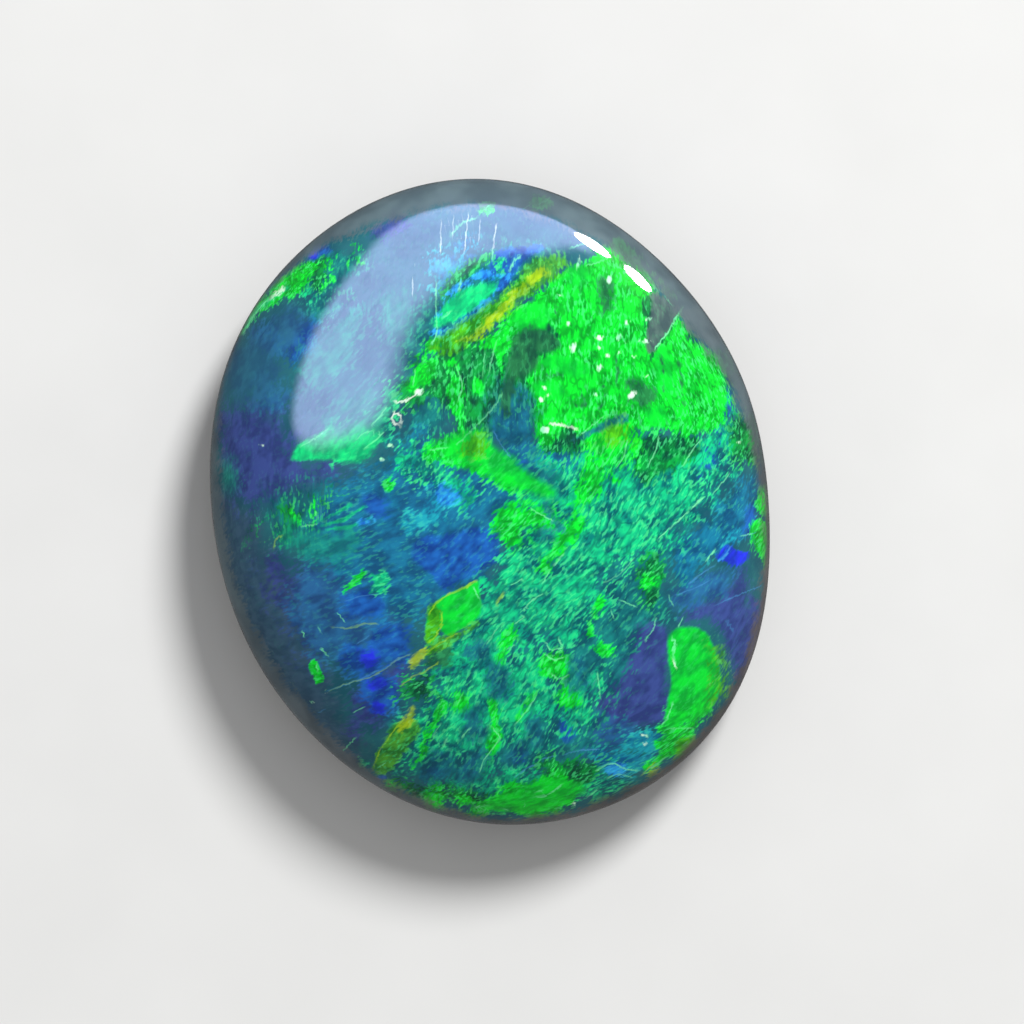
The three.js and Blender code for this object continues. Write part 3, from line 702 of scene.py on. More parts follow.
THREADS["mint"] = [
    # Upper left, along the green edge, and in the pale reflection, where the fibres carry a painted
    # highlight of that reflection
    thread(0.03, 0.9, (-4.39, 3.03), (-4.25, 3.29), (-4.04, 3.54), (-3.83, 3.73), (-3.64, 3.85)),
    thread(0.06, 0.5, (-3.88, 3.66), (-3.69, 3.8)),
    thread(0.024, 0.8, (-0.53, 3.89), (-0.57, 3.73)),
    thread(0.018, 0.8, (-0.96, 3.89), (-0.97, 3.57), (-0.94, 3.01), (-1.03, 2.8)),
    thread(0.03, 0.8, (0.34, 4.1), (0.41, 4.27), (0.51, 4.36)),
    thread(0.035, 0.5, (-0.01, 5.13), (-0.29, 5.04), (-0.57, 4.9), (-0.71, 4.73)),
    thread(0.02, 0.6, (0.03, 4.45), (0.02, 4.27)),
    thread(0.022, 0.7, (-0.85, 3.26), (-0.71, 3.36)),
    # Above the crescent
    thread(0.018, 0.8, (-0.19, 5.13), (-0.01, 5.27)),
    thread(0.015, 0.8, (0.79, 5.27), (0.97, 5.36), (1.04, 5.43)),
    thread(0.015, 0.7, (0.6, 5.22), (0.74, 5.32)),
    # Field's top and right
    thread(0.018, 0.8, (2.89, 2.72), (3.13, 3.03), (3.27, 3.28), (3.41, 3.49)),
    thread(0.018, 0.7, (2.85, 3.87), (3.01, 3.7)),
    thread(0.018, 0.7, (3.03, 3.7), (3.22, 3.49)),
    thread(0.02, 0.6, (1.4, 4.5), (1.59, 4.57), (1.82, 4.61)),
    thread(0.02, 0.5, (1.68, 4.19), (1.91, 4.26), (2.08, 4.33)),
    # Green triangle's lower edge
    thread(0.018, 0.5, (-3.35, 0.99), (-3.09, 1.13), (-2.86, 1.3)),
    thread(0.022, 0.7, (-2.35, 1.13), (-2.23, 1.23), (-2.07, 1.27)),
    thread(0.02, 0.7, (-2.21, 0.95), (-2.04, 1.09), (-1.88, 1.23)),
    thread(0.02, 0.6, (-2.09, 1.37), (-1.95, 1.51), (-1.83, 1.69)),
    thread(0.014, 0.6, (-3.07, -0.01), (-3.07, -0.27)),
    thread(0.014, 0.6, (-2.99, -0.03), (-2.99, -0.31)),
    thread(0.018, 0.7, (-3.33, -0.41), (-3, -0.36)),
    # Veins
    thread(0.018, 0.4, (-0.59, 1.02), (-0.41, 1.2), (-0.13, 1.48), (0.11, 1.76), (0.2, 1.93)),
    thread(0.014, 0.6, (-0.1, 2.6), (-0.15, 2.23)),
    thread(0.016, 0.6, (-1.32, 2.35), (-1.36, 2.07)),
    thread(0.016, 0.6, (-0.62, 2.44), (-0.5, 2.07), (-0.57, 1.79)),
    thread(0.016, 0.6, (0.11, 2.86), (0.01, 2.53), (-0.03, 2.3)),
    thread(0.02, 0.5, (-1.06, 0.93), (-0.78, 0.97)),
    thread(0.016, 0.6, (0.71, -0.1), (0.9, -0.22), (1.09, -0.31)),
    # Right of the middle
    thread(0.022, 0.9, (3.53, -0.1), (3.72, 0.09)),
    thread(0.016, 0.8, (3.46, -0.17), (3.13, -0.45), (2.95, -0.61)),
    thread(0.016, 0.6, (3.93, 0.18), (4.21, 0.51)),
    thread(0.014, 0.6, (1.59, 1.21), (1.99, 1.53)),
    thread(0.014, 0.6, (2.76, 0.65), (2.9, 0.93), (2.95, 1.16)),
    thread(0.014, 0.6, (3.37, 0.65), (3.51, 0.88), (3.69, 1.11)),
    thread(0.014, 0.6, (2.2, 0.6), (2.34, 0.83), (2.39, 1.07)),
    # Left of the middle
    thread(0.014, 0.7, (-2.68, -1.94), (-2.57, -2.08)),
    thread(0.02, 0.7, (-2.99, -2.57), (-2.87, -2.69)),
    thread(0.016, 0.8, (-3.06, -3.04), (-3.01, -3.13)),
    thread(0.018, 0.8, (-3.32, -2.27), (-3.29, -2.35)),
    thread(0.018, 0.8, (-3.04, -2.18), (-3, -2.27)),
    # Leaf
    thread(0.018, 0.8, (-0.31, -1.48), (-0.2, -1.69)),
    thread(0.018, 0.7, (0.36, -1.43), (0.55, -1.34)),
    thread(0.018, 0.7, (0.29, -2.57), (0.41, -2.5)),
    thread(0.022, 0.8, (1.11, -1.1), (1.18, -0.99), (1.27, -0.89)),
    thread(0.02, 0.7, (0.97, -2.67), (1.13, -2.76), (1.27, -2.71)),
    thread(0.016, 0.6, (0.9, -1.41), (1.04, -1.17)),
    thread(0.016, 0.6, (0.57, -1.87), (0.74, -1.69), (0.9, -1.59)),
    thread(0.016, 0.6, (0.43, -2.11), (0.64, -1.97)),
    thread(0.016, 0.6, (-0.08, -2.48), (0.11, -2.2)),
    # Right flank
    thread(0.014, 0.7, (4.44, -0.58), (4.63, -0.54)),
    thread(0.018, 0.8, (3.8, -1.01), (3.95, -0.82)),
    thread(0.016, 0.7, (2.27, -1.71), (2.55, -1.82)),
    thread(0.016, 0.7, (2.11, -1.89), (2.15, -2.01)),
    thread(0.016, 0.7, (3.13, -1.64), (3.2, -1.8)),
    thread(0.016, 0.7, (2.9, -2.03), (2.85, -2.22), (2.71, -2.43)),
    thread(0.016, 0.7, (3.3, -2.17), (3.37, -2.03)),
    thread(0.026, 0.8, (3.19, -2.38), (3.25, -2.5), (3.2, -2.62), (3.25, -2.87)),
    thread(0.014, 0.5, (2.5, -0.98), (2.27, -1.24), (1.97, -1.4)),
    # Lower left
    thread(0.02, 0.7, (-3.07, -2.85), (-3.05, -2.97), (-2.98, -3.11)),
    thread(0.016, 0.6, (-2.62, -4.39), (-2.41, -4.16)),
    thread(0.014, 0.6, (-2.43, -3.69), (-2.25, -3.6)),
    thread(0.014, 0.6, (-2.01, -4.69), (-1.87, -4.6)),
    thread(0.022, 0.7, (-0.5, -4.11), (-0.38, -3.97)),
    thread(0.022, 0.7, (-0.85, -4.3), (-0.78, -4.17)),
    thread(0.018, 0.6, (-1.03, -4.13), (-0.89, -3.9)),
    thread(0.014, 0.6, (-0.59, -3.53), (-0.5, -3.36)),
    # Lower edge
    thread(0.024, 0.9, (-0.18, -5.49), (-0.04, -5.42), (0.1, -5.39), (0.26, -5.44)),
    thread(0.018, 0.8, (0.59, -5.37), (0.61, -5.25), (0.8, -5.11), (0.89, -5.09)),
    thread(0.016, 0.7, (0.03, -3.95), (0.17, -4.13), (0.03, -4.32), (-0.13, -4.53), (-0.2, -4.72)),
    thread(0.02, 0.8, (1.87, -4.72), (2.04, -4.62), (2.18, -4.6), (2.39, -4.72), (2.62, -4.74)),
    thread(0.024, 0.7, (1.73, -5.21), (1.87, -5.09)),
    thread(0.018, 0.6, (0.43, -3.9), (0.61, -3.67), (0.78, -3.43)),
    thread(0.016, 0.6, (1.87, -2.97), (1.92, -3.43)),
    thread(0.016, 0.7, (2.08, -4.86), (2.27, -4.79), (2.48, -4.86)),
    thread(0.018, 0.7, (3.21, -3.53), (3.11, -3.81), (3.02, -3.92)),
    thread(0.02, 0.6, (2.69, -4.79), (2.88, -4.67), (3.11, -4.51)),
    thread(0.018, 0.6, (3.14, -3.99), (3.35, -3.99), (3.56, -3.99)),
    # Curled fibres in the lower middle
    thread(0.02, 0.5, (1.06, -3), (1.2, -3.1), (1.34, -3.03)),
    thread(0.018, 0.7, (0.95, -2.45), (1.05, -2.58), (1.25, -2.54), (1.2, -2.4)),
    thread(0.02, 0.7, (0.6, -5.25), (0.75, -5.2), (0.95, -5.2), (1.1, -5.1), (1.25, -4.98)),
    thread(0.024, 0.8, (-0.3, -5.4), (-0.05, -5.36), (0.15, -5.4)),
]
THREADS["white"] = [
    thread(0.05, 0.9, (-3.88, 3.66), (-3.69, 3.8)),
    # Fibres inside the pale reflection, drawn white: fibres of the stone with a painted highlight of
    # that reflection on them
    thread(0.012, 0.5, (-1.36, 4.57), (-1.36, 4.27)),
    thread(0.012, 0.5, (-1.38, 3.96), (-1.38, 3.66)),
    thread(0.012, 0.6, (-1.35, 4.59), (-1.34, 4.17)),
    thread(0.016, 0.6, (-0.88, 4.97), (-0.89, 4.41)),
    thread(0.012, 0.6, (-0.4, 5.13), (-0.47, 4.41)),
    thread(0.016, 0.6, (0.09, 4.9), (0.03, 4.45)),
    thread(0.012, 0.4, (-0.66, 5.06), (-0.68, 4.69)),
    thread(0.012, 0.4, (-0.19, 5.01), (-0.22, 4.59)),
    thread(0.032, 0.9, (-1.66, 1.77), (-1.54, 1.77), (-1.44, 1.82), (-1.35, 1.87), (-1.27, 1.97)),
    thread(0.028, 0.9, (-1.58, 1.4), (-1.56, 1.5), (-1.61, 1.58), (-1.7, 1.57), (-1.74, 1.48),
        (-1.7, 1.39), (-1.62, 1.36)),
    thread(0.03, 0.9, (1.05, 1.4), (1.25, 1.36), (1.5, 1.3)),
    thread(0.02, 0.8, (3.2, -2.75), (3.26, -2.9)),
]

# Finish of each patch colour, in the order in which they are laid: its dark and light tone as
# shown on a screen, how ragged its edge is, how much it covers of what lies under it, and how
# lively its fibres are
INKS = {
    "slate": ((48, 80, 106), (62, 94, 120), 0.6, 0.92, 0.04),
    "violet": ((46, 58, 124), (62, 78, 152), 0.9, 0.92, 0.05),
    "navy": ((32, 80, 132), (42, 112, 166), 0.9, 0.9, 0.15),
    "teal": ((6, 92, 104), (20, 138, 132), 1.1, 0.9, 0.45),
    "lagoon": ((14, 88, 132), (24, 126, 168), 1.0, 0.85, 0.35),
    "royal": ((16, 64, 146), (30, 104, 196), 0.9, 0.92, 0.15),
    "cyan": ((8, 112, 156), (30, 176, 192), 1.6, 0.85, 0.5),
    "sea": ((0, 132, 120), (20, 220, 138), 2.0, 0.92, 1.0),
    "deepgreen": ((0, 96, 52), (4, 166, 54), 1.7, 0.9, 0.9),
    "green": ((0, 190, 44), (8, 248, 50), 1.4, 0.97, 0.9),
    "pool": ((10, 82, 106), (24, 112, 142), 1.2, 0.86, 0.3),
    "slab": ((0, 180, 50), (4, 232, 52), 0.3, 0.96, 0.2),
    "jade": ((0, 176, 110), (14, 234, 132), 0.5, 0.94, 0.3),
    "hole": ((20, 84, 58), (38, 116, 72), 0.9, 0.9, 0.15),
    "grey": ((66, 84, 90), (88, 104, 108), 0.9, 0.9, 0.05),
    "mist": ((34, 84, 122), (42, 104, 134), 0.5, 0.8, 0.02),
    "haze": ((10, 118, 112), (22, 160, 132), 0.7, 0.7, 0.1),
    "ultra": ((28, 48, 190), (42, 52, 246), 0.9, 0.95, 0.05),
    "sky": ((24, 100, 210), (50, 170, 250), 1.3, 0.9, 0.4),
    "olive": ((48, 142, 16), (92, 194, 18), 1.1, 0.8, 0.6),
    "amber": ((124, 170, 6), (184, 208, 16), 1.1, 0.76, 0.2),
    "spark": ((150, 255, 190), (228, 255, 232), 0.8, 1.0, 0.0),
}
# Threads, in the order in which they are laid over the patches
THREAD_COLOURS = {
    "azure": (78, 156, 216),
    "straw": (168, 226, 44),
    "mint": (128, 255, 178),
    "white": (238, 255, 240),
}
PALE_FIBRE = (84, 255, 152)
CREASE_DIMS = (0.2, 0.34, 0.55, 1.0)  # what a dark crease leaves of the colour below it
GROUND = ((26, 88, 104), (38, 108, 118))  # under all patches
GROUND_FIBRES = 0.08
POTCH = ((78, 96, 104), (96, 116, 124))
# The brown tones below are a painted reflection of brown surroundings, laid over the grey potch at the
# right and lower rim
POTCH_BROWN_REFLECTION = ((84, 76, 74), (108, 96, 92))
BACK = ((40, 46, 50), (66, 74, 78))
SAND = (150, 122, 84)

# Width of the bare potch round the dome's foot: direction from the right in degrees, millimetres
POTCH_WIDTHS = [
    (0, 0.1), (25, 0.3), (45, 0.46), (60, 0.5), (90, 0.56), (110, 0.5), (132, 0.12), (140, 0.0),
    (158, 0.0), (168, 0.2), (180, 0.22),
    (225, 0.3), (250, 0.2), (270, 0.14), (315, 0.16), (340, 0.12), (360, 0.1),
]
POTCH_EDGE = 0.1  # softness of its edge, in millimetres
# How much painted reflection of brown surroundings lies on the potch, by direction
BROWN_REFLECTION_BY_DIRECTION = [(0, 0.7), (20, 0.2), (200, 0.0), (250, 0.4), (290, 1.0), (340, 0.9), (360, 0.7)]
# Heights between which the potch covers the foot of the dome, and the ground back begins
POTCH_HEIGHTS = (1.5 * MM, 1.25 * MM)
BACK_HEIGHTS = (0.95 * MM, 0.8 * MM)

# Lie of the fibres: the direction from the right in degrees, and where it rules (place, reach)
FIBRE_LIES = [
    (88, [((-0.6, 4.3), 1.2), ((1.9, 3.3), 1.3), ((1.5, 1.9), 0.9), ((-3.2, -0.2), 0.5),
          ((-0.7, 2.0), 0.8)]),
    (108, [((3.6, 2.4), 0.8), ((3.0, 1.8), 0.7)]),
    (62, [((2.4, 0.2), 1.3), ((0.6, -3.4), 1.3), ((-0.2, -4.4), 1.0), ((3.4, 1.0), 0.7)]),
    (45, [((3.8, 0.0), 1.0), ((0.9, -1.6), 1.4), ((-1.4, -4.2), 0.9), ((-1.6, 2.0), 0.8),
          ((-0.2, 3.6), 1.0), ((3.6, -1.4), 1.0), ((0.4, 0.2), 0.8)]),
    (24, [((-2.3, -3.0), 1.5), ((-2.4, -0.5), 0.8), ((0.6, -5.2), 0.6), ((2.6, -4.6), 0.7)]),
]
LEAST_RULE = 0.02  # of a lie far from all of its places

# Sizes of the patterns. The first two are in millimetres along and across the lie of the fibres,
# and each has the distance by which its pattern is moved on from one lie to the next.
CREASE_SIZE = (0.42, 0.16)
CREASE_SHIFT = 0.7
FIBRE_SIZE = (0.155, 0.056)
FIBRE_SHIFT = 0.4
BROAD_SIZE = 1 / 2.2  # millimetres
CLOUD_SIZE = 0.9 * MM
SAND_SIZE = 0.2 * MM
POLISH_SIZE = (2.4 * MM, 0.03 * MM, 0.03 * MM)  # of one mark of the last polish
POLISH_TURN = math.radians(50) - LEAN

# What a pattern does. A span holds the two values of the pattern between which a thing goes from
# none to all, or from the first to the second of the shares named with it.
TONE_SPAN = (0.3, 0.68)  # from the dark tone of a patch to its light one
EDGE_SPAN = (0.3, 0.7)  # of the wander of a patch's edge
EDGE_FIBRES = 0.8  # share of the fibres in that wander
SOFT_EDGE = (-1.0, 1.0)  # from outside a patch to inside it, counted in its softness
CLOUD_SPAN = (0.35, 0.65)  # from dark to light in the ground, the potch and the back
CREASE_SPAN = (0.085, 0.01)  # from beside a dark crease to its middle
CREASE_SHARE = 0.72  # how dark a crease gets
GAP_SPAN = (0.0, -0.13)  # from a fibre into the dark gap beside it
GAP_PLACES = (0.64, 0.4)  # from places with faint gaps to places with deep ones
GAP_SHARES = (0.15, 0.8)
FIBRE_SPAN = (0.02, 0.14)  # from beside a light fibre to its middle
FIBRE_PLACES = (0.36, 0.56)  # from places without light fibres to places with them
FIBRE_SHARE = 0.8  # how light a fibre gets
PALE_SHARE = 0.55  # of the pale colour in a light fibre
POTCH_RAGGED = 1.4  # how far the edge of the potch wanders, in its softness
POTCH_SHARE = 0.9  # how much of what lies under it the potch covers
SAND_SPAN = (0.62, 0.7)  # from beside a grain of sand to its middle
LAP_SPAN = (0.3, 0.7)  # from the low places of the ground back to the high ones
LAP_DEPTH = 0.02 * MM
LAP_STRENGTH = 0.35
GLOSS_SPAN = (0.3, 0.6)  # of the marks of the polish
GLOSS_SHARES = (0.8, 1.0)
BACK_GLOSS = 0.25
ROUGH_SPAN = (0.2, 0.8)  # of the marks of the polish
ROUGHNESS = (0.34, 0.44)
SPECULAR = 0.04  # under the coat
COAT_ROUGHNESS = 0.03
COAT_IOR = 1.5

# Lines of the threads
THREAD_WAVER = 3.2  # how far a thread wanders with the fibres, in half widths
THREAD_EDGE = (1.3, 0.15)  # from beside a thread to its middle, in half widths
THREAD_PLACES = (0.34, 0.56)  # from places where threads are weak to places where they are strong
THREAD_SHARES = (0.45, 0.85)
THREAD_REACH = 0.1  # how far from a thread its offset is still kept, in millimetres
THREAD_GAP = 0.08  # between two threads both fade, over this difference of their distances
NO_THREAD = 9.0  # offset in half widths, and distance in millimetres, where no thread is near

# Mesh work
OUTLINE_BINS = 360  # directions in which the outline's radius is kept
ARC_STEPS = 61  # from the top of the dome to its foot
JOIN_ANGLE = math.radians(60)  # two triangles that meet flatter than this become one quad

# Camera
LOOK_AT = (0.37, -0.157)  # where the middle of the picture falls, in view millimetres
LENS = 220.9  # millimetres
SENSOR = 36  # millimetres
LENS_HEIGHT = 110 * MM  # above the top of the dome
CLIP_START = 10 * MM

# Lights: azimuth from the right and elevation in degrees, size in metres, power in watts
LIGHT_DISTANCE = 200 * MM
KEY = (60, 46, (60 * MM, 60 * MM), 0.43)
GLINTS = {
    "glint_left": (58.7, 6.0, (32 * MM, 34 * MM), 0.2),
    "glint_right": (47.6, 3.5, (24 * MM, 38 * MM), 0.2),
}
SKY_FILL = 0.42  # strength of the sky as light
SKY_MIRRORED = 0.12  # and in reflections

# The soft panel whose reflection is the pale crescent: its corners in a plane at the light
# distance, as tangents of the angle to its own axis (to the right, upwards)
PANEL_AXIS = (-0.25, 0.75, 0.6)
PANEL_CORNERS = [
    (-0.85, 0.5), (-0.66, 0.72), (-0.27, 0.80), (-0.08, 0.44), (0.23, 0.15), (0.62, 0.04),
    (0.91, -0.16), (1.17, -0.3), (1.17, -0.67), (0.1, -0.6), (-0.27, -0.15), (-0.61, 0.21),
]
PANEL_SOFTNESS = 0.09
PANEL_GLOW = (0.5, 0.56, 1.0, 1.0)
PANEL_STRENGTH = 12.0
PANEL_STEPS = (48, 32)  # of its mesh

FLOOR_WIDTH = 1.2  # metres
FLOOR_TONES = ((0.7, 0.7, 0.69, 1.0), (0.76, 0.76, 0.75, 1.0))
FLOOR_SPECKLE = 3 * MM


# Mesh and attributes
def select_only(piece):
    bpy.ops.object.select_all(action="DESELECT")
    piece.select_set(True)
    bpy.context.view_layer.objects.active = piece


def stone_piece():
    """The solid's own mesh, welded and rounded off, as a piece of its own"""
    piece = bpy.data.objects.new("opal_stone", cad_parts[NODE].data.copy())
    bpy.context.scene.collection.objects.link(piece)
    select_only(piece)
    bpy.ops.mesh.customdata_custom_splitnormals_clear()
    bpy.ops.object.mode_set(mode="EDIT")
    bpy.ops.mesh.select_all(action="SELECT")
    bpy.ops.mesh.remove_doubles(threshold=WELD)
    bpy.ops.mesh.tris_convert_to_quads(face_threshold=JOIN_ANGLE, shape_threshold=math.pi)
    bpy.ops.object.mode_set(mode="OBJECT")
    finer = piece.modifiers.new("finer", "SUBSURF")
    finer.levels = finer.render_levels = FINER
    bpy.ops.object.modifier_apply(modifier=finer.name)
    bpy.ops.object.shade_smooth()
    return piece


def vertex_places(piece):
    places = np.empty(len(piece.data.vertices) * 3)
    piece.data.vertices.foreach_get("co", places)
    return places.reshape(-1, 3)


def write_values(piece, name, values):
    layer = piece.data.attributes.new(name, "FLOAT", "POINT")
    layer.data.foreach_set("value", values.astype(np.float32))


def points_near(points, shape, margin):
    """Which points are in the box round a shape, widened by a margin"""
    low = np.min(shape, 0) - margin
    high = np.max(shape, 0) + margin
    return np.flatnonzero(np.all((points > low) & (points < high), axis=1))


def patch_values(points, marks):
    """For each point the depth inside the nearest mark, counted in that mark's softness"""
    values = np.full(len(points), FAR)
    for one in marks:
        margin = one["reach"] - FAR * one["softness"] + SPARE
        near = points_near(points, one["points"], margin)
        depth = one["depth"](points[near], *one["shape"])
        values[near] = np.maximum(values[near], depth / one["softness"])
    return np.clip(values, FAR, -FAR)


def beside_thread(points, one):
    """Distance to a thread, offset to its left in half widths, and its strength there"""
    distance = np.full(len(points), np.inf)
    offset = np.zeros(len(points))
    strength = np.zeros(len(points))
    for start, end in zip(one["points"], one["points"][1:]):
        share, beside, length = along_segment(points, start, end)
        away = distance_to_segment(points, start, end)
        past_end = np.maximum(-share, share - 1).clip(0) * length / one["half_width"]
        closer = away < distance
        distance = np.where(closer, away, distance)
        offset = np.where(closer, beside / one["half_width"], offset)
        strength = np.where(closer, one["strength"] * (1 - past_end).clip(0), strength)
    return distance, offset, strength


def thread_values(points, threads):
    """Offset from the nearest thread in half widths, with its sign, and that thread's strength"""
    offsets = np.full(len(points), NO_THREAD)
    strengths = np.zeros(len(points))
    nearest = np.full(len(points), NO_THREAD)
    second = np.full(len(points), np.inf)
    for one in threads:
        near = points_near(points, one["points"], 2 * THREAD_REACH)
        distance, offset, strength = beside_thread(points[near], one)
        wins = distance < nearest[near]
        second[near] = np.where(wins, nearest[near], np.minimum(second[near], distance))
        nearest[near] = np.where(wins, distance, nearest[near])
        offsets[near] = np.where(wins, offset, offsets[near])
        strengths[near] = np.where(wins, strength, strengths[near])
    alone = ((second - nearest) / THREAD_GAP - 0.5).clip(0, 1)
    return offsets, strengths * alone * (2 - 2 * nearest / THREAD_REACH).clip(0, 1)


def outline_reach(places):
    """Radius of the stone's outline in the direction of each place, in millimetres"""
    flat = np.hypot(places[:, 0], places[:, 1]) / MM
    directions = np.arctan2(places[:, 1], places[:, 0])
    widest = places[:, 2] < DOME_FOOT
    turns = (directions[widest] + math.pi) / (2 * math.pi)
    reach = np.zeros(OUTLINE_BINS)
    np.maximum.at(reach, (turns * OUTLINE_BINS).astype(int) % OUTLINE_BINS, flat[widest])
    middles = (np.arange(OUTLINE_BINS) + 0.5) / OUTLINE_BINS * 2 * math.pi - math.pi
    return np.interp(directions, middles, reach, period=2 * math.pi)


def write_colours(piece, points, dome):
    """Depth in each patch colour, and offset and strength of each colour of thread"""
    for ink, marks in PATCHES.items():
        values = np.full(len(points), FAR)
        values[dome] = patch_values(points[dome], marks)
        write_values(piece, ink, values)
    for colour, threads in THREADS.items():
        offsets = np.full(len(points), NO_THREAD)
        strengths = np.zeros(len(points))
        offsets[dome], strengths[dome] = thread_values(points[dome], threads)
        write_values(piece, colour + "_offset", offsets)
        write_values(piece, colour + "_strength", strengths)


def write_potch(piece, places, points, reach):
    """Depth in the bare potch, and how much painted brown reflection lies on it"""
    inset = reach - np.hypot(places[:, 0], places[:, 1]) / MM
    inset = np.where(places[:, 2] > DOME_FOOT, inset, -1.0)
    seen_direction = np.degrees(np.arctan2(points[:, 1], points[:, 0])) % 360
    widths = np.interp(seen_direction, *zip(*POTCH_WIDTHS))
    write_values(piece, "potch", np.clip((widths - inset) / POTCH_EDGE, FAR, -FAR))
    write_values(piece, "brown_reflection", np.interp(seen_direction, *zip(*BROWN_REFLECTION_BY_DIRECTION)))


def write_unrolled(piece, places, points, dome, reach):
    """The dome laid flat in view millimetres, so that grain isn't drawn out down its sides"""
    mean_reach = reach.mean()
    share = np.clip(np.hypot(places[:, 0], places[:, 1]) / MM / reach, 0, 1)
    steps = np.linspace(0, 1, ARC_STEPS)
    order = dome[np.argsort(share[dome])]
    heights = np.interp(steps, share[order], places[order, 2] / MM)
    arc = np.concatenate([[0], np.cumsum(np.hypot(np.diff(heights), np.diff(steps) * mean_reach))])
    stretch = np.interp(share, steps[1:], arc[1:] / (steps[1:] * mean_reach))
    unrolled = np.zeros((len(points), 3))
    unrolled[:, :2] = points * stretch[:, None]
    layer = piece.data.attributes.new("unrolled", "FLOAT_VECTOR", "POINT")
    layer.data.foreach_set("vector", unrolled.astype(np.float32).ravel())


def write_lies(piece, points):
    """Weight of each lie of the fibres, their squares adding up to one"""
    rules = []
    for _, guides in FIBRE_LIES:
        rule = np.full(len(points), LEAST_RULE)
        for centre, reach in guides:
            away = np.hypot(*(points - np.array(centre)).T)
            rule += np.exp(-(away / reach) ** 2)
        rules.append(rule)
    rules = np.stack(rules)
    rules /= np.sqrt((rules ** 2).sum(0))
    for i, rule in enumerate(rules):
        write_values(piece, f"lie_{i}", rule)


def paint_stone(piece):
    """Writes where each colour and pattern of the dome lies into the mesh"""
    places = vertex_places(piece)
    points = to_view(places)
    dome = np.flatnonzero(places[:, 2] > DOME_FOOT)
    reach = outline_reach(places)
    write_colours(piece, points, dome)
    write_potch(piece, places, points, reach)
    write_unrolled(piece, places, points, dome, reach)
    write_lies(piece, points)


# Shader building
def put(tree, kind, inputs=None, **settings):
    """Adds a node, and sets or links its inputs by name or number"""
    node = tree.nodes.new(kind)
    for name, value in settings.items():
        setattr(node, name, value)
    for socket, value in (inputs or {}).items():
        if isinstance(value, bpy.types.NodeSocket):
            tree.links.new(value, node.inputs[socket])
        else:
            node.inputs[socket].default_value = value
    return node


def maths(tree, operation, first, second=0.0, third=0.0, clamp=False):
    inputs = {0: first, 1: second, 2: third}
    return put(tree, "ShaderNodeMath", inputs, operation=operation, use_clamp=clamp).outputs[0]


def spread(tree, value, span, shares=(0.0, 1.0), kind="SMOOTHSTEP"):
    """Turns one span of a value into another, by default into 0 to 1"""
    inputs = {0: value, 1: span[0], 2: span[1], 3: shares[0], 4: shares[1]}
    return put(tree, "ShaderNodeMapRange", inputs, interpolation_type=kind).outputs[0]


def blend_colours(tree, share, under, over, blend_type="MIX"):
    inputs = {0: share, 6: under, 7: over}
    node = put(tree, "ShaderNodeMix", inputs, data_type="RGBA", blend_type=blend_type)
    return node.outputs[2]


def blend_values(tree, share, under, over):
    return put(tree, "ShaderNodeMix", {0: share, 2: under, 3: over}).outputs[0]


def two_tones(tree, share, tones):
    return blend_colours(tree, share, display(*tones[0]), display(*tones[1]))


def attribute(tree, name):
    return put(tree, "ShaderNodeAttribute", attribute_name=name).outputs["Fac"]


def split(tree, colour):
    return put(tree, "ShaderNodeSeparateColor", {0: colour}).outputs


def noise(tree, place, size, detail, roughness=0.5):
    inputs = {"Vector": place, "Scale": 1 / size, "Detail": detail, "Roughness": roughness}
    return put(tree, "ShaderNodeTexNoise", inputs).outputs["Fac"]


def flat_noise(tree, place, size, detail):
    inputs = {"Vector": place, "Scale": 1 / size, "Detail": detail, "Roughness": 0.55}
    return put(tree, "ShaderNodeTexNoise", inputs, noise_dimensions="2D").outputs


def drawn_out(tree, place, turn, size, shift=0.0):
    """Places scaled down by a size along the turned axes, for a pattern that runs one way"""
    inputs = {0: place, 1: (shift, 0.0, 0.0), 2: (0.0, 0.0, turn), 3: size}
    return put(tree, "ShaderNodeMapping", inputs, vector_type="TEXTURE").outputs[0]


def group_tree(name, inputs, outputs):
    tree = bpy.data.node_groups.new(name, "ShaderNodeTree")
    for socket, kind in inputs.items():
        tree.interface.new_socket(socket, in_out="INPUT", socket_type="NodeSocket" + kind)
    for socket, kind in outputs.items():
        tree.interface.new_socket(socket, in_out="OUTPUT", socket_type="NodeSocket" + kind)
    return tree, tree.nodes.new("NodeGroupInput").outputs, tree.nodes.new("NodeGroupOutput").inputs


def use_group(tree, group, inputs):
    return put(tree, "ShaderNodeGroup", inputs, node_tree=group).outputs


def patch_group():
    """One colour laid over what is there, with a ragged edge and two tones"""
    tree, given, result = group_tree(
        "opal patch",
        {"Under": "Color", "Under fibres": "Float", "Depth": "Float", "Edge": "Float",
         "Grain": "Float", "Dark": "Color", "Light": "Color", "Ragged": "Float",
         "Cover": "Float", "Fibres": "Float"},
        {"Color": "Color", "Fibres": "Float"},
    )
    shift = maths(tree, "MULTIPLY", maths(tree, "SUBTRACT", given["Edge"], 0.5), given["Ragged"])
    depth = maths(tree, "MULTIPLY_ADD", shift, 2.0, given["Depth"])
    share = maths(tree, "MULTIPLY", spread(tree, depth, SOFT_EDGE), given["Cover"])
    tone = blend_colours(tree, given["Grain"], given["Dark"], given["Light"])
    tree.links.new(blend_colours(tree, share, given["Under"], tone), result["Color"])
    fibres = blend_values(tree, share, given["Under fibres"], given["Fibres"])
    tree.links.new(fibres, result["Fibres"])
    return tree


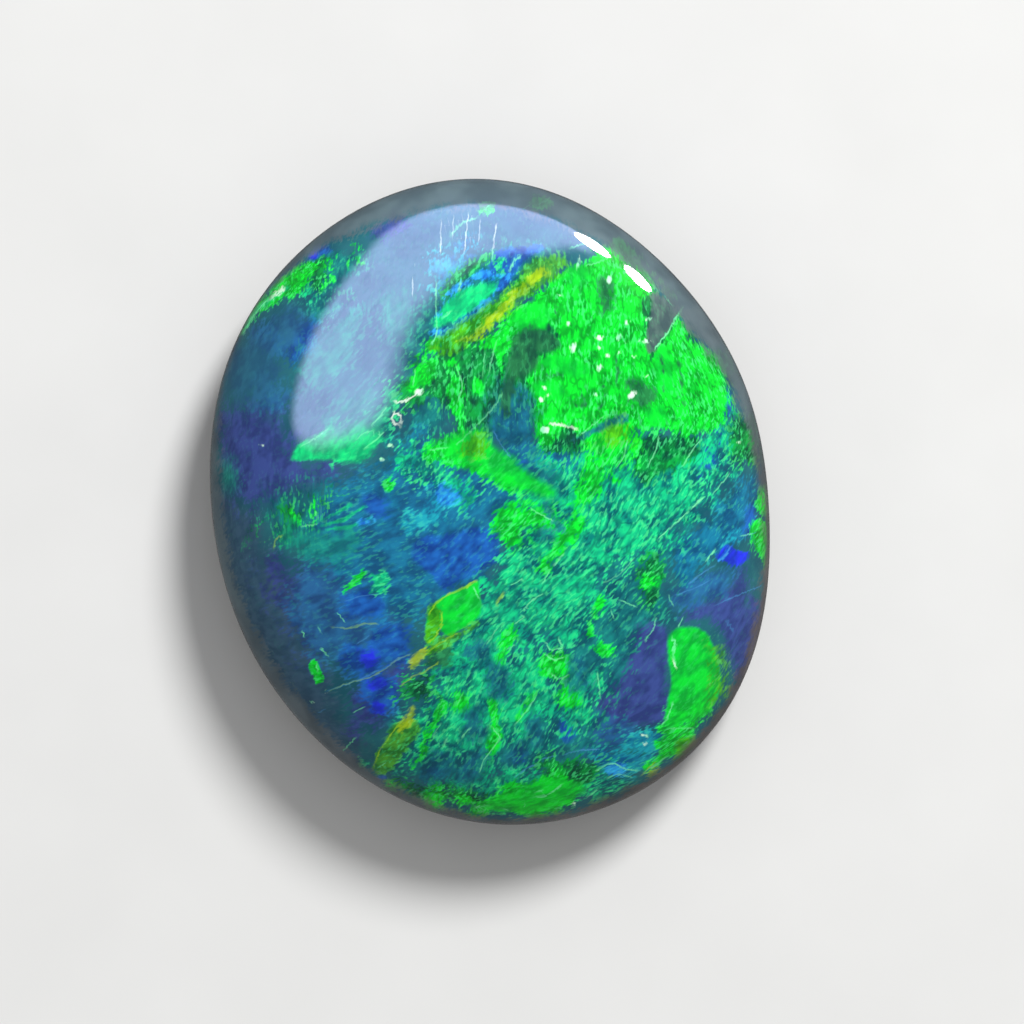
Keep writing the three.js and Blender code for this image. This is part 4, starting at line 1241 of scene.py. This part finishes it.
def thread_group():
    """A fine line over what is there, as sharp as the picture allows"""
    tree, given, result = group_tree(
        "opal thread",
        {"Under": "Color", "Offset": "Float", "Strength": "Float", "Waver": "Float",
         "Line": "Color"},
        {"Color": "Color"},
    )
    waver = maths(tree, "MULTIPLY", given["Waver"], THREAD_WAVER)
    beside = maths(tree, "ABSOLUTE", maths(tree, "ADD", given["Offset"], waver))
    line = spread(tree, beside, THREAD_EDGE)
    share = maths(tree, "MULTIPLY", line, given["Strength"], clamp=True)
    tree.links.new(blend_colours(tree, share, given["Under"], given["Line"]), result["Color"])
    return tree


def lie_group():
    """Three fields drawn out along the lie: for tone, for dark creases and for light fibres"""
    lies = {f"Lie {i}": "Float" for i in range(len(FIBRE_LIES))}
    tree, given, result = group_tree(
        "opal fibre lie",
        {"Place": "Vector", **lies},
        {"Tone": "Float", "Crease": "Float", "Fibre": "Float"},
    )
    sums = {"Tone": 0.0, "Crease": 0.0, "Fibre": 0.0}
    for i, (direction, _) in enumerate(FIBRE_LIES):
        turn = math.radians(direction)
        wide = drawn_out(tree, given["Place"], turn, (*CREASE_SIZE, 1.0), CREASE_SHIFT * i)
        wide = split(tree, flat_noise(tree, wide, 1.0, 1.0)["Color"])
        fine = drawn_out(tree, given["Place"], turn, (*FIBRE_SIZE, 1.0), FIBRE_SHIFT * i)
        fine = flat_noise(tree, fine, 1.0, 1.0)["Fac"]
        for name, field in (("Tone", wide[0]), ("Crease", wide[1]), ("Fibre", fine)):
            part = maths(tree, "MULTIPLY", maths(tree, "SUBTRACT", field, 0.5), given[f"Lie {i}"])
            sums[name] = maths(tree, "ADD", sums[name], part)
    for name, field in sums.items():
        tree.links.new(field, result[name])
    return tree


def new_material(name, shader_kind="ShaderNodeBsdfPrincipled"):
    material = bpy.data.materials.new(name)
    material.use_nodes = True
    tree = material.node_tree
    tree.nodes.clear()
    shader = tree.nodes.new(shader_kind)
    put(tree, "ShaderNodeOutputMaterial", {0: shader.outputs[0]})
    return material, tree, shader


# The opal's material, from the play of colour down to the back
def stone_fields(tree):
    """The patterns that the finishes of the stone share"""
    place = tree.nodes.new("ShaderNodeTexCoord").outputs["Object"]
    flat = put(tree, "ShaderNodeAttribute", attribute_name="unrolled").outputs["Vector"]
    lies = {f"Lie {i}": attribute(tree, f"lie_{i}") for i in range(len(FIBRE_LIES))}
    fine = use_group(tree, lie_group(), {"Place": flat, **lies})
    broad = split(tree, flat_noise(tree, flat, BROAD_SIZE, 3.0)["Color"])
    wander = maths(tree, "ADD", maths(tree, "MULTIPLY", fine["Fibre"], EDGE_FIBRES), broad[1])
    tone = maths(tree, "ADD", fine["Tone"], broad[0])
    polish_place = drawn_out(tree, place, POLISH_TURN, POLISH_SIZE)
    return {
        "crease": fine["Crease"], "fibre": fine["Fibre"], "broad": broad,
        "grain": spread(tree, tone, TONE_SPAN, kind="LINEAR"),
        "edge": spread(tree, wander, EDGE_SPAN, kind="LINEAR"),
        "height": put(tree, "ShaderNodeSeparateXYZ", {0: place}).outputs[2],
        "cloud": spread(tree, noise(tree, place, CLOUD_SIZE, 2.0, 0.6), CLOUD_SPAN),
        "sand": noise(tree, place, SAND_SIZE, 2.0, 0.7),
        "polish": noise(tree, polish_place, 1.0, 1.0),
    }


def play_of_colour(tree, fields):
    """All patches over the ground, and how lively the fibres are in what shows"""
    colour = two_tones(tree, fields["cloud"], GROUND)
    fibres = GROUND_FIBRES
    patch = patch_group()
    for ink, (dark, light, ragged, cover, lively) in INKS.items():
        laid = use_group(tree, patch, {
            "Under": colour, "Under fibres": fibres, "Depth": attribute(tree, ink),
            "Edge": fields["edge"], "Grain": fields["grain"],
            "Dark": display(*dark), "Light": display(*light),
            "Ragged": ragged, "Cover": cover, "Fibres": lively,
        })
        colour, fibres = laid["Color"], laid["Fibres"]
    return colour, fibres


def creases(tree, fields, colour, fibres):
    """Dark creases, and dark gaps between the light fibres"""
    crease = spread(tree, maths(tree, "ABSOLUTE", fields["crease"]), CREASE_SPAN)
    crease = maths(tree, "MULTIPLY", crease, CREASE_SHARE)
    gap = spread(tree, fields["fibre"], GAP_SPAN)
    gap = maths(tree, "MULTIPLY", gap, spread(tree, fields["broad"][0], GAP_PLACES, GAP_SHARES))
    dark = maths(tree, "MULTIPLY", maths(tree, "MAXIMUM", crease, gap), fibres)
    return blend_colours(tree, dark, colour, CREASE_DIMS, "MULTIPLY")


def light_fibres(tree, fields, colour, fibres):
    fibre = maths(tree, "MULTIPLY", spread(tree, fields["fibre"], FIBRE_SPAN), fibres)
    fibre = maths(tree, "MULTIPLY", fibre, spread(tree, fields["broad"][2], FIBRE_PLACES))
    fibre = maths(tree, "MULTIPLY", fibre, FIBRE_SHARE)
    pale = blend_colours(tree, PALE_SHARE, colour, display(*PALE_FIBRE))
    return blend_colours(tree, fibre, colour, pale, "LIGHTEN")


def bright_threads(tree, fields, colour):
    line = thread_group()
    fading = spread(tree, fields["broad"][1], THREAD_PLACES, THREAD_SHARES)
    for name, tint in THREAD_COLOURS.items():
        strength = maths(tree, "MULTIPLY", attribute(tree, name + "_strength"), fading)
        colour = use_group(tree, line, {
            "Under": colour, "Offset": attribute(tree, name + "_offset"),
            "Strength": strength, "Waver": fields["fibre"], "Line": display(*tint),
        })["Color"]
    return colour


def potch_rim(tree, fields, colour):
    """Bare potch round the foot of the dome and on the girdle, with a painted reflection of brown
    surroundings at the right and lower rim
    """
    cool = two_tones(tree, fields["cloud"], POTCH)
    # A painted reflection of brown surroundings, laid on the potch by direction
    reflected_brown = two_tones(tree, fields["cloud"], POTCH_BROWN_REFLECTION)
    potch = blend_colours(tree, attribute(tree, "brown_reflection"), cool, reflected_brown)
    ragged = maths(tree, "MULTIPLY", maths(tree, "SUBTRACT", fields["edge"], 0.5), POTCH_RAGGED)
    bare = maths(tree, "ADD", attribute(tree, "potch"), ragged)
    foot = spread(tree, fields["height"], POTCH_HEIGHTS)
    bare = maths(tree, "MAXIMUM", spread(tree, bare, SOFT_EDGE), foot)
    return blend_colours(tree, maths(tree, "MULTIPLY", bare, POTCH_SHARE), colour, potch)


def ground_back(tree, fields, colour, below):
    """The dark back, with grains of sand in it"""
    back = two_tones(tree, fields["cloud"], BACK)
    back = blend_colours(tree, spread(tree, fields["sand"], SAND_SPAN), back, display(*SAND))
    return blend_colours(tree, below, colour, back)


def opal_material():
    material, tree, shader = new_material("black_opal")
    fields = stone_fields(tree)
    below = spread(tree, fields["height"], BACK_HEIGHTS)
    colour, fibres = play_of_colour(tree, fields)
    colour = creases(tree, fields, colour, fibres)
    colour = light_fibres(tree, fields, colour, fibres)
    colour = bright_threads(tree, fields, colour)
    colour = potch_rim(tree, fields, colour)
    colour = ground_back(tree, fields, colour, below)

    lap = maths(tree, "MULTIPLY", below, spread(tree, fields["sand"], LAP_SPAN, kind="LINEAR"))
    bump = {"Strength": LAP_STRENGTH, "Distance": LAP_DEPTH, "Height": lap}
    gloss = spread(tree, fields["polish"], GLOSS_SPAN, GLOSS_SHARES)
    gloss = blend_values(tree, below, gloss, BACK_GLOSS)
    roughness = spread(tree, fields["polish"], ROUGH_SPAN, ROUGHNESS, "LINEAR")
    tree.links.new(colour, shader.inputs["Base Color"])
    tree.links.new(put(tree, "ShaderNodeBump", bump).outputs[0], shader.inputs["Normal"])
    tree.links.new(gloss, shader.inputs["Coat Weight"])
    tree.links.new(roughness, shader.inputs["Roughness"])
    shader.inputs["Specular IOR Level"].default_value = SPECULAR
    shader.inputs["Coat Roughness"].default_value = COAT_ROUGHNESS
    shader.inputs["Coat IOR"].default_value = COAT_IOR
    return material


# Stage, light and camera
def floor_material():
    material, tree, shader = new_material("pale_floor")
    place = tree.nodes.new("ShaderNodeTexCoord").outputs["Object"]
    speckle = noise(tree, place, FLOOR_SPECKLE, 3.0)
    tree.links.new(blend_colours(tree, speckle, *FLOOR_TONES), shader.inputs["Base Color"])
    shader.inputs["Roughness"].default_value = 1.0
    shader.inputs["Specular IOR Level"].default_value = 0.0
    return material


def add_floor():
    bpy.ops.mesh.primitive_plane_add(size=FLOOR_WIDTH, location=(0, 0, 0))
    floor = bpy.context.object
    floor.name = "floor"
    floor.data.materials.append(floor_material())
    floor.visible_glossy = False


def toward(azimuth, elevation):
    """Unit vector in the solid's frame, azimuth counted from the right as seen from above"""
    turn, rise = math.radians(azimuth), math.radians(elevation)
    across, away = math.cos(turn) * math.cos(rise), math.sin(turn) * math.cos(rise)
    return to_row(across, away, math.sin(rise)) / MM


def area_light(name, azimuth, elevation, size, power):
    """An oval light at the light distance that faces the stone"""
    lamp = bpy.data.lights.new(name, "AREA")
    lamp.shape = "ELLIPSE"
    lamp.size, lamp.size_y = size
    lamp.energy = power
    holder = bpy.data.objects.new(name, lamp)
    bpy.context.scene.collection.objects.link(holder)
    direction = toward(azimuth, elevation)
    holder.location = direction * LIGHT_DISTANCE + Vector((0, 0, STONE_TOP / 2))
    holder.rotation_euler = direction.to_track_quat("Z", "Y").to_euler()
    holder.visible_camera = False
    return holder


def glow_material():
    material, tree, shader = new_material("softbox_glow", "ShaderNodeAddShader")
    strength = maths(tree, "MULTIPLY", attribute(tree, "glow"), PANEL_STRENGTH)
    glow = put(tree, "ShaderNodeEmission", {0: PANEL_GLOW, 1: strength}).outputs[0]
    clear = tree.nodes.new("ShaderNodeBsdfTransparent").outputs[0]
    tree.links.new(glow, shader.inputs[0])
    tree.links.new(clear, shader.inputs[1])
    return material


def add_panel():
    axis = to_row(*PANEL_AXIS).normalized()
    right = axis.cross(Vector((0, 0, 1))).normalized()
    up = right.cross(axis).normalized()
    corners = np.array(PANEL_CORNERS)
    low = corners.min(0) - PANEL_SOFTNESS
    high = corners.max(0) + PANEL_SOFTNESS
    across, along = PANEL_STEPS
    bpy.ops.mesh.primitive_grid_add(x_subdivisions=across, y_subdivisions=along, size=2)
    panel = bpy.context.object
    panel.name = "softbox"
    flat = low + (vertex_places(panel)[:, :2] + 1) / 2 * (high - low)
    depth = depth_in_outline(flat, *PANEL_CORNERS) / PANEL_SOFTNESS
    write_values(panel, "glow", np.clip(depth + 0.5, 0, 1))
    places = np.array(axis) + flat @ np.array([right, up])
    panel.data.vertices.foreach_set("co", (places * LIGHT_DISTANCE).ravel())
    panel.data.materials.append(glow_material())
    panel.visible_camera = False
    panel.visible_diffuse = False
    panel.visible_shadow = False


def add_lights():
    area_light("key", *KEY).visible_glossy = False
    for name, glint in GLINTS.items():
        area_light(name, *glint).visible_diffuse = False
    add_panel()


def set_world():
    """A white sky that is dimmer in reflections than as light"""
    world = bpy.data.worlds.new("studio")
    world.use_nodes = True
    tree = world.node_tree
    background = tree.nodes["Background"]
    background.inputs[0].default_value = (1.0, 1.0, 1.0, 1.0)
    mirrored = tree.nodes.new("ShaderNodeLightPath").outputs["Is Glossy Ray"]
    tree.links.new(blend_values(tree, mirrored, SKY_FILL, SKY_MIRRORED), background.inputs[1])
    bpy.context.scene.world = world
    bpy.context.scene.view_settings.view_transform = "Standard"


def add_camera():
    lens = bpy.data.cameras.new("camera")
    lens.lens = LENS
    lens.sensor_width = SENSOR
    lens.clip_start = CLIP_START
    holder = bpy.data.objects.new("camera", lens)
    bpy.context.scene.collection.objects.link(holder)
    holder.location = to_row(*LOOK_AT) + Vector((0, 0, STONE_TOP + LENS_HEIGHT))
    holder.rotation_euler = (0, 0, -LEAN)
    bpy.context.scene.camera = holder


add_camera()
set_world()
add_lights()
add_floor()
stone = stone_piece()
paint_stone(stone)
stone.data.materials.clear()
stone.data.materials.append(opal_material())
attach(stone, "root")
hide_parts(NODE)
